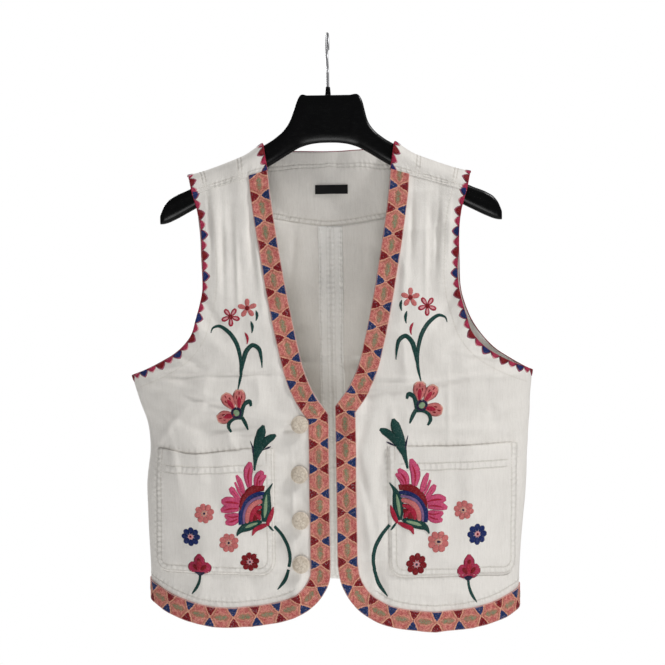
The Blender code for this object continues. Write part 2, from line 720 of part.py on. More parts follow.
def make_hanger(collection):
    """The hanger's body: rounded sections lofted from tip to tip."""
    halves = [row for row in HANGER if row.x > 0]
    stations = [row._replace(x=-row.x) for row in reversed(halves)] + list(HANGER)
    turn = (np.arange(HANGER_SIDES) + 0.5) * 2 * math.pi / HANGER_SIDES
    power = 2 / HANGER_SQUARENESS
    round_y = np.sign(np.cos(turn)) * np.abs(np.cos(turn)) ** power
    round_z = np.sign(np.sin(turn)) * np.abs(np.sin(turn)) ** power
    round_y, round_z = round_y / round_y.max(), round_z / round_z.max()
    body = bmesh.new()
    rings = []
    for row in stations:
        middle, half = (row.top + row.bottom) / 2, (row.top - row.bottom) / 2
        rings.append([body.verts.new(Vector((row.x, row.half_thickness * y, middle + half * z))
                                     * METRES) for y, z in zip(round_y, round_z)])
    for ring, after in zip(rings, rings[1:]):
        for k in range(HANGER_SIDES):
            m = (k + 1) % HANGER_SIDES
            body.faces.new((ring[k], ring[m], after[m], after[k]))
    body.faces.new(rings[0])
    body.faces.new(rings[-1])
    bmesh.ops.recalc_face_normals(body, faces=body.faces)
    mesh = bpy.data.meshes.new("hanger_body")
    body.to_mesh(mesh)
    body.free()
    mesh.shade_smooth()
    mesh.set_sharp_from_angle(angle=math.radians(50))
    add_object("hanger_body", mesh, "black", collection)


def hook_path():
    """Wire centre line in its own plane: stem, small bend back, slope, and the round hook."""
    centre_z = WIRE_RADIUS - HOOK_RADIUS
    start = math.pi - HOOK_LEAN - math.radians(10)
    lean = math.pi - start
    on_circle = np.array([HOOK_RADIUS * math.sin(start), centre_z + HOOK_RADIUS * math.cos(start)])
    slope = np.array([math.cos(lean), math.sin(lean)])
    bend = math.pi / 2 - lean
    bend_across = HOOK_BEND_RADIUS * (1 - math.cos(bend))
    slope_length = (on_circle[0] - bend_across) / slope[0]
    bend_top = on_circle - slope * slope_length
    bend_foot_z = bend_top[1] - HOOK_BEND_RADIUS * math.sin(bend)
    turn = np.linspace(0, bend, 5)
    points = [(0, HOOK_STEM_FOOT_Z)]
    points += [(HOOK_BEND_RADIUS * (1 - math.cos(t)), bend_foot_z + HOOK_BEND_RADIUS * math.sin(t))
               for t in turn]
    points += [(HOOK_RADIUS * math.sin(t), centre_z + HOOK_RADIUS * math.cos(t))
               for t in np.linspace(start, HOOK_END, 26)]
    return points


def make_hook(collection):
    """The hanger's wire hook and the ferrule round its foot."""
    curve = bpy.data.curves.new("hanger_hook", "CURVE")
    curve.dimensions = "3D"
    curve.bevel_depth = WIRE_RADIUS * METRES
    curve.bevel_resolution = 2
    curve.use_fill_caps = True
    points = hook_path()
    line = curve.splines.new("POLY")
    line.points.add(len(points) - 1)
    for point, (back, z) in zip(line.points, points):
        x, y = -math.sin(HOOK_TURN) * back, math.cos(HOOK_TURN) * back
        point.co = (x * METRES, y * METRES, z * METRES, 1)
    add_object("hanger_hook", curve, "steel", collection)

    inner, outer = FERRULE_RADII
    foot, top = FERRULE_ZS
    ring = [(inner, top), (outer - FERRULE_EDGE, top), (outer, top - FERRULE_EDGE),
            (outer, foot + FERRULE_EDGE), (outer - FERRULE_EDGE, foot), (inner, foot)]
    mesh = bpy.data.meshes.new("hanger_ferrule")
    mesh.from_pydata([(r * METRES, 0, z * METRES) for r, z in ring],
                     [(k, (k + 1) % len(ring)) for k in range(len(ring))], [])
    turned(add_object("hanger_ferrule", mesh, "black", collection))


def main():
    """Clear the scene and build the waistcoat and its hanger."""
    for obj in list(bpy.data.objects):
        bpy.data.objects.remove(obj, do_unlink=True)
    collection = bpy.data.collections.new(MODEL)
    bpy.context.scene.collection.children.link(collection)
    make_fronts(collection)
    make_backs(collection)
    make_yoke(collection)
    make_buttons(collection)
    make_hanger(collection)
    make_hook(collection)


main()
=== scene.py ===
"""Looks of an embroidered waistcoat on its plastic hanger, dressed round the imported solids.

Sizes are in millimetres and degrees, and become metres when a mesh is made. The origin is at
the inner top of the hook's bend, +Z is up and the fronts face -Y. "Left" and "right" are as
seen from the front.

One soft form holds all the cloth, as in the solids: at each height the body is a flattened
ring, and the shoulders are a rounded ridge. Panels are laid out flat, as arc length from the
centre line against height, and wrapped round that form. Everything sewn on a panel (border,
pocket, thread) is laid out on the same flat plan and lifted off the same form.
"""

import logging
import math
from dataclasses import dataclass, field, replace
from enum import Enum
from functools import partial
from typing import Callable, ClassVar, Optional, Sequence, Union

import bpy
import numpy as np
from mathutils import Matrix, Vector


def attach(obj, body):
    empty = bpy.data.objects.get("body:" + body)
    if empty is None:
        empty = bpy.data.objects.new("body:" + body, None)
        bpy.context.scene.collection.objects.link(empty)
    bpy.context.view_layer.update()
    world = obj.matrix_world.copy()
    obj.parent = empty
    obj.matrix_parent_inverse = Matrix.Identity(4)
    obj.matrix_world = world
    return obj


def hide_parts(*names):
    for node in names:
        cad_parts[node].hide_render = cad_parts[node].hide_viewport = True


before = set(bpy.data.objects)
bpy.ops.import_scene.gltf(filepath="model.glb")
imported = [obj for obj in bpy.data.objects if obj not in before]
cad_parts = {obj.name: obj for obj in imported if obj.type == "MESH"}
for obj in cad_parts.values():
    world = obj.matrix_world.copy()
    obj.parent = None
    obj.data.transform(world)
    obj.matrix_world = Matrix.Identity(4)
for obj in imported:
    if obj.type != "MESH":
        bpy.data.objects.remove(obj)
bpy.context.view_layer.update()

LOG = logging.getLogger("waistcoat")
Array = np.ndarray
Colour = tuple[float, float, float]
Pair = tuple[float, float]
Rows = Sequence[Sequence[float]]
Place = Callable[[Array, Array], Array]
Object = bpy.types.Object
Socket = bpy.types.NodeSocket

METRES = 0.001
CURVE_SAMPLES = 900


class Face(str, Enum):
    """The two faces of the garment."""

    FRONT = "front"
    BACK = "back"

    @property
    def away(self) -> int:
        """Sign of Y that points away from the body on this face."""
        return -1 if self is Face.FRONT else 1


# ---- sizes of the form
# Body sections: height, half width, and how far front and back stand off the side seams
LEVELS = ((-90, 292, 21, 23), (-165, 288, 23, 27), (-210, 281, 27, 32), (-260, 272, 32, 39),
          (-320, 258, 39, 46), (-370, 246.5, 45, 52), (-404, 239.8, 48, 55), (-440, 232.4, 50, 58),
          (-465, 227.6, 51, 60), (-492, 225.8, 52, 61), (-530, 227, 53, 63), (-582, 224, 54, 66),
          (-624, 221, 55, 68), (-710, 219.5, 55, 70))
NOMINAL_FLATNESS = 0.22
RIDGE = ((0, -95), (40, -104), (80.4, -128.4), (100, -141.5), (120, -149.7),
         (139, -156.5), (154, -161.3), (169.8, -165), (240, -178))
RIDGE_ROUNDING = 20.0
NECK_HALF_WIDTH = 80.4
SHOULDER_OUT = 169.8

NECK_BACK_Z = -134.0
NECK_SIDE_Z = -128.4
FRONT_SEAM_IN = (72.8, -163.2)
FRONT_SEAM_OUT = (161.0, -190.0)
BACK_SEAM_CENTRE_Z = -224.0
BACK_SEAM_OUT = (163.0, -196.0)
BACK_SEAM_CURVE = 1.3
V_EDGE = ((0, 1), (0.156, 0.923), (0.344, 0.806), (0.55, 0.658), (0.714, 0.517),
          (0.837, 0.386), (0.922, 0.228), (1, 0))
FRONT_HEM = ((6.3, -640.5), (13.4, -656), (25.6, -670.5), (43.6, -682), (66.5, -690),
             (92, -694.6), (120.5, -697.4), (146, -696.6), (173, -691.4), (198, -683), (213, -675.6))
EDGE_STRAIGHT_END_Z = -622.0
SIDE_HEM_Z = -671.8
FRONT_ARMHOLE = ((153, -220), (149.8, -259), (148.8, -300), (156.5, -336.6),
                 (162.7, -356.4), (175.4, -372.7), (196.8, -386.9), (221, -397.5))
LEFT_BACK_ARMHOLE = ((159.2, -225), (158.5, -260), (160.0, -312.6), (165.5, -336),
                     (173.5, -356.4), (187.5, -374), (208, -388), (222, -395.5))
RIGHT_BACK_ARMHOLE = ((159.2, -225), (158.5, -260), (162.8, -312.6), (180, -353), (200, -377),
                      (221, -392))
ARMPIT_Z = -403.8
FRONT_ARMPIT_ROW_Z = -421.0
POCKET_TOP_Z = -488.5
POCKET_BOTTOM_Z = -634.5
POCKET_MOUTH_GAPE = 3.0
POCKET_CORNER = 17.0
BACK_HEM_RISE = 6.0
FACING_WIDTH = 16.0
HEM_LINE_UP = 6.5

# Cloth walls and layers
PANEL_WALL = 1.5
BAND_WALL = 1.0
POCKET_WALL = 1.7
STRIP_WALL = 0.8
LABEL_WALL = 0.5
SEAM_GAP = 0.4
LAYER_GAP = 0.35
BAND_WIDTH = 23.0
STRIP_HALF_WIDTH = 15.0
STRIP_DEPTH = PANEL_WALL + LAYER_GAP + STRIP_WALL


# ---- tables and curves
def smooth_lookup(keys: Sequence[float], values: Sequence[float], at: Array) -> Array:
    """Read a table as a smooth curve: a Hermite cubic through its rows, straight beyond them.

    Args:
        keys: Positions of the rows, rising or falling.
        values: Values of the rows.
        at: Positions to read at.

    Returns:
        The values there, shaped as at.
    """
    keys, values, at = (np.asarray(row, float) for row in (keys, values, at))
    if keys[0] > keys[-1]:
        keys, values = keys[::-1], values[::-1]
    slopes = np.gradient(values, keys)
    inside = np.clip(at, keys[0], keys[-1])
    i = np.clip(np.searchsorted(keys, inside, side="right") - 1, 0, len(keys) - 2)
    span = keys[i + 1] - keys[i]
    t = (inside - keys[i]) / span
    start = values[i] * (1 + 2 * t) * (1 - t) ** 2 + slopes[i] * span * t * (1 - t) ** 2
    end = values[i + 1] * t * t * (3 - 2 * t) + slopes[i + 1] * span * t * t * (t - 1)
    return start + end + (at - inside) * np.where(at < keys[0], slopes[0], slopes[-1])


def length_along(path: Array) -> Array:
    """Length of a polyline up to each of its points."""
    return np.r_[0, np.cumsum(np.linalg.norm(np.diff(path, axis=0), axis=1))]


def smooth_path(points: Rows, samples: int = CURVE_SAMPLES) -> Array:
    """A dense polyline, even by length, on a smooth curve through the points."""
    points = np.asarray(points, float)
    along = length_along(points)
    at = np.linspace(0, along[-1], samples)
    return np.column_stack([smooth_lookup(along, column, at) for column in points.T])


def point_on(path: Array, share: Array) -> Array:
    """Points at shares (0 to 1) of a polyline's length."""
    along = length_along(path)
    return np.column_stack([np.interp(np.asarray(share) * along[-1], along, column) for column in path.T])


def smooth_steps(path: Rows, step: float = 3.0) -> Array:
    """The same polyline with points about every few millimetres."""
    path = np.asarray(path, float)
    return point_on(path, np.linspace(0, 1, max(int(length_along(path)[-1] / step), 2)))


def unit(vectors: Array) -> Array:
    """Vectors scaled to length 1, with a zero vector left alone."""
    return vectors / (np.linalg.norm(vectors, axis=-1, keepdims=True) + 1e-12)


def leftward(vectors: Array) -> Array:
    """Flat vectors turned a quarter to the left."""
    return np.stack([-vectors[..., 1], vectors[..., 0]], axis=-1)


def left_of(path: Array) -> Array:
    """Unit vectors to the left of a polyline at its points, by central differences."""
    return leftward(unit(np.gradient(path, axis=0)))


def heading(path: Array, share: Array, step: float) -> Array:
    """Unit directions of a polyline at shares of its length, from points a step to each side."""
    step = step / length_along(path)[-1]
    ahead, behind = (point_on(path, np.clip(share + move, 0, 1)) for move in (step, -step))
    return unit(ahead - behind)


def inset(path: Array, width: float) -> Array:
    """Move a polyline towards its left hand by a width, mitred where it turns.

    Args:
        path: Its points.
        width: How far to move it, to the right where negative.

    Returns:
        The moved points.
    """
    steps = unit(np.diff(path, axis=0))
    mean = (np.vstack([steps[:1], steps]) + np.vstack([steps, steps[-1:]])) / 2
    length = np.linalg.norm(mean, axis=1, keepdims=True)
    return path + leftward(mean) * width / length ** 2


def between(start: Array, end: Array, cells: int) -> Array:
    """Rows that go evenly from one array of points to another."""
    return start + (end - start) * np.linspace(0, 1, cells + 1)[:, None, None]


def coons(top: Array, bottom: Array, left: Array, right: Array) -> Array:
    """Fill the grid between four edges, each an array of points.

    The Coons patch: the ruled surface from top to bottom, plus what it misses at the left and
    right edges, faded linearly across.

    Args:
        top, bottom: The first and last rows.
        left, right: The first and last columns.

    Returns:
        The grid, with as many rows as left has points and as many columns as top.
    """
    u = np.linspace(0, 1, len(top))[None, :, None]
    ruled = between(top, bottom, len(left) - 1)
    return ruled + (1 - u) * (left[:, None] - ruled[:, :1]) + u * (right[:, None] - ruled[:, -1:])


def stacked(blocks: Sequence[Array]) -> Array:
    """Join grids whose last and first rows are the same."""
    return np.concatenate([blocks[0], *[block[1:] for block in blocks[1:]]])


def grid_of(*columns: Array) -> Array:
    """Points of a grid from their coordinates, each stretched over the whole grid."""
    return np.stack(np.broadcast_arrays(*columns), axis=-1)


def smoothstep(low: float, high: float, at: Array) -> Array:
    """0 below low, 1 above high, and 3t^2 - 2t^3 between."""
    t = np.clip((at - low) / (high - low), 0, 1)
    return t * t * (3 - 2 * t)


def bell(distance: Array, width: float) -> Array:
    """exp(-(distance / width)^2): 1 at zero, fading on both sides."""
    return np.exp(-(distance / width) ** 2)


def round_angles(count: int) -> Array:
    """Angles evenly round a circle."""
    return np.arange(count) * 2 * math.pi / count


def turned(radius: Array, height: Array, turn: Array) -> Array:
    """A turned body: each ring's radius and height at each angle."""
    return grid_of(radius * np.cos(turn), radius * np.sin(turn), height)


def capped(rings: Array, middles: Optional[Array] = None) -> Array:
    """Close a tube's ends, each with its middle point repeated as one more ring."""
    middles = rings.mean(axis=1) if middles is None else middles
    first, last = (np.broadcast_to(middles[k], rings[k].shape)[None] for k in (0, -1))
    return np.concatenate([first, rings, last])


def grid_area(flat: Array) -> float:
    """Area of a flat grid in square metres: half the cross product of each cell's diagonals."""
    one = flat[1:, 1:] - flat[:-1, :-1]
    two = flat[1:, :-1] - flat[:-1, 1:]
    return float(np.abs(one[..., 0] * two[..., 1] - one[..., 1] * two[..., 0]).sum()) / 2e6


# ---- folds of the cloth
@dataclass(frozen=True)
class Fold:
    """A soft ridge, or a trough where its height is negative."""

    x: float
    z: float
    lean: float
    breadth: float
    reach: float
    height: float

    def height_at(self, x: Array, z: Array) -> Array:
        """A Gaussian across the fold times a Gaussian along it, turned by the lean."""
        lean = math.radians(self.lean)
        across = (x - self.x) * math.cos(lean) + (z - self.z) * math.sin(lean)
        along = (z - self.z) * math.cos(lean) - (x - self.x) * math.sin(lean)
        return self.height * np.exp(-((across / self.breadth) ** 2) - (along / self.reach) ** 2)


@dataclass(frozen=True)
class Rumple:
    """Soft uneven rumpling: a lattice of random heights, joined smoothly."""

    spacing: float
    height: float
    seed: int
    ridged: bool = False

    def height_at(self, x: Array, z: Array) -> Array:
        """Random heights at the lattice's corners, blended by t^3 (10 - 15 t + 6 t^2).

        Ridged, the height h becomes 1 - 2 |h|, which turns its zero lines into soft creases.
        """
        lattice = np.random.default_rng(self.seed).uniform(-1, 1, (128, 128))
        u, v = x / self.spacing + 64.0, z / self.spacing * 0.8 + 100.0
        i, j = np.floor(u).astype(int), np.floor(v).astype(int)
        s, t = (part ** 3 * (10 - 15 * part + 6 * part * part) for part in (u - i, v - j))
        near, far = (lattice[i % 128, row % 128] * (1 - s) + lattice[(i + 1) % 128, row % 128] * s
                     for row in (j, j + 1))
        found = near + (far - near) * t
        return self.height * (1 - 2 * np.abs(found) if self.ridged else found)


# Each row: x, z, lean, breadth, reach and height. A face's large folds come first, as in the
# solids, then the fine creases: fold lines from storage, drag lines and slack ripples
FOLD_ROWS = {
    Face.FRONT: (
        (-134, -250, 3, 7, 60, 2.2), (-116, -235, 3, 6, 45, -1.6), (-101, -255, 4, 8, 70, 1.8),
        (104, -250, -3, 8, 60, 1.8), (119, -240, -4, 6, 55, -1.8), (133, -250, -5, 7, 60, 2.2),
        (-182, -428, 62, 13, 48, 3.2), (-165, -462, 70, 12, 50, -2.2), (180, -424, -66, 13, 52, 3.2),
        (168, -460, -72, 12, 50, -2), (118, -372, -38, 12, 60, 2.4), (-112, -380, 30, 13, 50, 2),
        (-160, -560, 6, 18, 70, 2.6), (-52, -560, -3, 12, 90, -1.8), (46, -560, 7, 12, 95, 2.6),
        (160, -560, -8, 18, 75, 2.6), (-186, -394, 100, 3, 30, 2.9), (-166, -420, 70, 5.5, 36, 3.1),
        (-118, -467, 97, 4, 30, -2.8), (-140, -436, 74, 3.2, 26, -2.2), (-194, -466, -42, 5, 26, 3.1),
        (-150, -436, 102, 4, 26, 2.5), (-118, -450, 84, 4, 30, 2.8), (-104, -474, 94, 3.6, 30, -2.5),
        (-186, -500, 14, 5, 40, 3.2), (-48, -462, 86, 1.8, 10, 1.7), (-50, -468, 94, 1.8, 9, -1.4),
        (-47, -548, 1, 1.5, 70, 1), (-62, -628, 88, 3, 14, 1.7), (62, -420, 98, 2.6, 34, 2.5),
        (134, -446, 0, 2.6, 36, 2.1), (196, -410, 96, 4, 28, 2.9), (186, -452, 10, 5, 30, -2.8),
        (72, -470, 12, 4.5, 30, 2.2), (204, -540, -6, 5, 60, 2.9), (36, -536, 12, 4.5, 44, -2.4),
        (124, -414, 97.5, 3.6, 78, 3.2), (190, -389, 80, 2.8, 40, 2.2), (75, -410, 88, 2.4, 26, 2.5),
        (-152, -405, 91, 3, 62, -2.8), (-92, -404, 89, 2.6, 34, -2), (-203, -422, 80, 6, 24, -3.1),
        (-126, -262, 1, 3.4, 48, -2.5), (-109, -282, 2, 3, 42, 2.2), (-93, -238, 2, 3.2, 36, -2.2),
        (-84, -275, 5, 3.6, 50, 1.8), (-141, -228, 3, 2.8, 30, -2.2), (96, -232, -3, 3, 34, -2.2),
        (112, -268, -2, 3.2, 44, 2.2), (126, -244, -4, 3, 40, -2.5), (140, -238, -3, 3.2, 34, 1.8),
        (86, -290, -6, 4, 44, 1.8), (-150, -350, 40, 6, 34, 2.8), (-172, -382, 58, 5, 30, -2.8),
        (-140, -330, 28, 5, 40, -1.8), (152, -352, -44, 6, 36, 2.8), (176, -384, -60, 5, 32, -2.8),
        (136, -326, -30, 5, 38, -1.8), (-196, -455, 66, 6, 34, 3.1), (-206, -486, 74, 6, 30, -2.8),
        (198, -452, -68, 6, 36, 3.1), (204, -484, -75, 6, 30, -2.8), (-58, -455, 80, 5, 22, 2.5),
        (-64, -492, 72, 6, 24, -2.2), (-62, -548, 84, 6, 20, 2.2), (34, -470, -12, 6, 42, -2.8),
        (56, -500, -9, 6, 60, -2.5), (40, -590, 6, 5, 46, 2.5), (52, -640, 14, 6, 36, -2.2),
        (-44, -650, -12, 6, 34, 2.2), (-78, -470, 86, 4, 22, 1.4), (150, -470, 88, 6, 46, 2.8),
        (-135, -474, 90, 6, 46, 2.5), (-120, -540, 12, 9, 46, 2.5), (-182, -600, 8, 8, 44, -2.5),
        (124, -560, -10, 9, 50, 2.8), (186, -590, -8, 8, 46, -2.5), (100, -652, 84, 7, 34, 1.8),
        (-112, -656, 96, 7, 36, 1.8)),
    Face.BACK: (
        (-62, -320, -6, 20, 85, 3.4), (74, -335, 8, 18, 80, 3), (-138, -350, 24, 17, 70, 3),
        (142, -345, -22, 18, 70, 3.2), (-105, -540, 4, 24, 105, 4), (96, -560, -5, 26, 110, 3.8),
        (-180, -470, 58, 15, 55, 2.6), (184, -462, -55, 15, 55, 2.8), (34, -391, 90, 2.6, 34, -3.8),
        (96, -389, 92, 2.8, 46, -3), (-60, -392, 88, 2.8, 44, -3.4), (-150, -386, 86, 3, 40, 1.6),
        (42, -268, 4, 4.5, 44, 2), (58, -300, 8, 5.5, 60, -2), (-46, -262, -6, 4.5, 40, 1.8),
        (-84, -290, -14, 5.5, 56, -2), (118, -276, 18, 6, 50, 2), (-120, -282, -20, 6, 52, 1.8),
        (-168, -402, 62, 7, 40, 2.5), (172, -398, -60, 7, 42, 2.5), (-200, -440, 66, 6, 34, -2),
        (202, -436, -68, 6, 34, -2), (-38, -470, -3, 8, 80, -2.2), (44, -500, 4, 8, 84, 2.2),
        (-68, -600, 6, 9, 60, 2), (128, -610, -7, 9, 56, -2), (-150, -590, 9, 9, 62, 2)),
}
RUMPLE_ROWS = {
    Face.FRONT: ((46.0, 2.8, 3), (22.0, 1.4, 4), (34.0, 1.7, 5, True), (11.0, 0.42, 6)),
    Face.BACK: ((52.0, 3.0, 13), (25.0, 1.5, 14), (37.0, 1.7, 15, True), (12.0, 0.42, 16)),
}
FOLDS = {face: [Fold(*row) for row in rows] for face, rows in FOLD_ROWS.items()}
RUMPLES = {face: [Rumple(*row) for row in rows] for face, rows in RUMPLE_ROWS.items()}
SLACK_RIPPLE = 0.35
# How the cloth has settled on the hanger: the sides sway to the right by height, and the
# hems hang lower towards the right
SWAY = ((-400, 0), (-437, 3.6), (-455, 6.6), (-473, 7.4), (-492, 7.2), (-509, 5.6), (-533, 3.8),
        (-557, 3.0), (-582, 1.8), (-617, 0.6), (-650, 0))
HEM_DROP = ((-230, -3.5), (-120, -3.8), (-60, -1.5), (0, 0.5), (30, 3.5), (100, 4.6), (160, 5.4),
            (190, 8.5), (210, 11.0), (225, 11.5))


def quarter_ring() -> tuple[Array, Array]:
    """Width and arc length round a unit quarter ring: x = sin^(2/3), y = flatness cos."""
    turn = np.linspace(0, 1, CURVE_SAMPLES) ** 1.5 * math.pi / 2
    across = np.sin(turn) ** (2 / 3)
    return across, length_along(np.column_stack([across, NOMINAL_FLATNESS * np.cos(turn)]))


@dataclass(frozen=True)
class BodyForm:
    """The form that all the cloth lies on, with its folds."""

    levels: Rows = LEVELS
    ring: tuple[Array, Array] = field(default_factory=quarter_ring)

    def level(self, column: int, z: Array) -> Array:
        """A column of the body sections at height z."""
        return smooth_lookup([row[0] for row in self.levels], [row[column] for row in self.levels], z)

    def half_width(self, z: Array) -> Array:
        """Half width at height z."""
        return self.level(1, z)

    def depth(self, face: Face, z: Array) -> Array:
        """How far a face stands off the side seams at height z, without its folds."""
        return self.level(2 if face is Face.FRONT else 3, z)

    def from_front(self, points: Rows) -> Array:
        """Turn (x, z) as seen from the front into (arc length from the centre, z)."""
        x, z = np.moveaxis(np.asarray(points, float), -1, 0)
        half_width = self.half_width(z)
        return np.stack([np.interp(x / half_width, *self.ring) * half_width, z], axis=-1)

    def side_seam(self, start_z: float, end_z: float, rows: int) -> Array:
        """Flat points down the side seam."""
        z = np.linspace(start_z, end_z, rows + 1)
        return np.column_stack([self.ring[1][-1] * self.half_width(z), z])

    def folded_depth(self, face: Face, x: Array, z: Array) -> Array:
        """A face's depth with its folds, rumples and a slack ripple, two products of slow sines.

        Args:
            face: Which face.
            x, z: Where on it, as seen from the front.

        Returns:
            The depth.
        """
        ripple = (np.sin(x / 13.1 + z / 47) * np.sin(z / 23.7 - x / 71)
                  + 0.8 * np.sin(x / 31 - z / 17.3) * np.sin(x / 19.7 + z / 61))
        reliefs = [one.height_at(x, z) for one in FOLDS[face] + RUMPLES[face]]
        return self.depth(face, z) + sum(reliefs) + SLACK_RIPPLE * ripple

    def point(self, face: Face, side: int, arc: Array, z: Array) -> Array:
        """Wrap flat (arc, z) round the body.

        The ring's half depth is sqrt(1 - |x|^3) of the section's depth, the folds add to the
        depth, and an arc past the side seam runs on round the other face. The sides then sway
        with the eighth power of x, and the hem drops.

        Args:
            face, side: Which panel.
            arc: Arc length from the centre line.
            z: Height before the hem drops.

        Returns:
            Points (x, y, z).
        """
        across, length = self.ring
        half_width = self.half_width(z)
        past_seam = arc > length[-1] * half_width
        arc = np.where(past_seam, 2 * length[-1] * half_width - arc, arc)
        share = np.interp(arc / half_width, length, across)
        x = side * half_width * share
        y = (self.folded_depth(face, x, z) * np.sqrt(np.clip(1 - np.abs(share) ** 3, 0, 1))
             * np.where(past_seam, -1, 1))
        sway = smooth_lookup(*zip(*SWAY), np.maximum(z, SWAY[-1][0])) * (z < SWAY[0][0])
        drop = smooth_lookup(*zip(*HEM_DROP), x) * smoothstep(-560.0, -668.0, z)
        return np.stack([x + sway * share ** 8, y * face.away, z - drop], axis=-1)

    def wrap(self, face: Face, side: int, flat: Array, lift: Union[float, Array] = 0.0) -> Array:
        """Wrap a grid of flat (arc, z) points round the body, moved out by the lift."""
        surface = partial(self.point, face, side)
        normals = normals_of(surface, flat[..., 0], flat[..., 1], (side, face.away, 0))
        return surface(flat[..., 0], flat[..., 1]) + normals * np.asarray(lift)[..., None]

    def ridge_z(self, x: Array) -> Array:
        """Height of the shoulder ridge at x."""
        return smooth_lookup(*zip(*RIDGE), np.abs(x))

    def shoulder_point(self, face: Face, x: Array, run: Array) -> Array:
        """A point on the yoke, its run counted down from the ridge, first round a quarter circle.

        Args:
            face: Front or back.
            x: Distance from the middle.
            run: Length down from the ridge.

        Returns:
            The point (x, y, z).
        """
        run = np.maximum(run, 0.0)
        turn = np.clip(run / RIDGE_ROUNDING, 0, math.pi / 2)
        straight = np.maximum(run - RIDGE_ROUNDING * math.pi / 2, 0)
        z = self.ridge_z(x) - RIDGE_ROUNDING * (1 - np.cos(turn)) - straight
        bow = np.sqrt(1 - np.abs(x / self.half_width(z)) ** 3)
        return grid_of(x, self.folded_depth(face, x, z) * np.sin(turn) * bow * face.away, z)

    def run_to(self, x: Array, z: Array) -> Array:
        """The run from the ridge down to height z at x."""
        fall = np.maximum(self.ridge_z(x) - z, 0)
        rounded = RIDGE_ROUNDING * np.arccos(np.clip(1 - fall / RIDGE_ROUNDING, -1, 1))
        return np.where(fall < RIDGE_ROUNDING, rounded, fall + RIDGE_ROUNDING * (math.pi / 2 - 1))


def normals_of(surface: Place, u: Array, v: Array, towards: Sequence[float], step: float = 0.05) -> Array:
    """Unit normals of surface(u, v), by central differences, on the side of a direction.

    Args:
        surface: The function of two parameters.
        u, v: Where on it.
        towards: The direction that the normals look along.
        step: Half the span of the differences.

    Returns:
        The normals.
    """
    along_u = surface(u + step, v) - surface(u - step, v)
    along_v = surface(u, v + step) - surface(u, v - step)
    normals = unit(np.cross(along_u, along_v))
    return normals * np.where((normals * towards).sum(axis=-1, keepdims=True) < 0, -1, 1)


FORM = BodyForm()


# ---- shader expressions
Number = Union["Value", float, int]


def math_method(operation: str, reflected: bool = False) -> Callable[..., "Value"]:
    """A method that adds a Math node on a value and its operands, in turned order if reflected."""
    def apply(value: "Value", *operands: Number) -> "Value":
        """Add the node."""
        numbers = (value, *operands)
        return value.graph.math(operation, *(numbers[::-1] if reflected else numbers))
    return apply


@dataclass(frozen=True)
class Value:
    """A number socket of a material; Python's operators on it add Math nodes."""

    graph: "Graph"
    socket: Socket

    __add__ = __radd__ = math_method("ADD")
    __mul__ = __rmul__ = math_method("MULTIPLY")
    __sub__ = math_method("SUBTRACT")
    __rsub__ = math_method("SUBTRACT", reflected=True)
    __abs__ = math_method("ABSOLUTE")
    fraction = math_method("FRACT")

    def __neg__(self) -> "Value":
        """Opposite."""
        return self * -1.0

    def wave(self, length: float) -> "Value":
        """A sine wave of one length, from -1 to 1."""
        return self.graph.math("SINE", self * (2 * math.pi / length))

    def bell(self, width: float) -> "Value":
        """exp(-(value / width)^2): 1 at zero, fading on both sides."""
        return self.graph.math("POWER", math.e, -(self * self) * (1 / width ** 2))

    def rise(self, low: float, high: float) -> "Value":
        """A smooth step from 0 at low to 1 at high, or falling where low is above high."""
        return Value(self.graph, self.graph.node(
            "ShaderNodeMapRange", {"interpolation_type": "SMOOTHSTEP"},
            {"Value": self, "From Min": low, "From Max": high}).outputs[0])


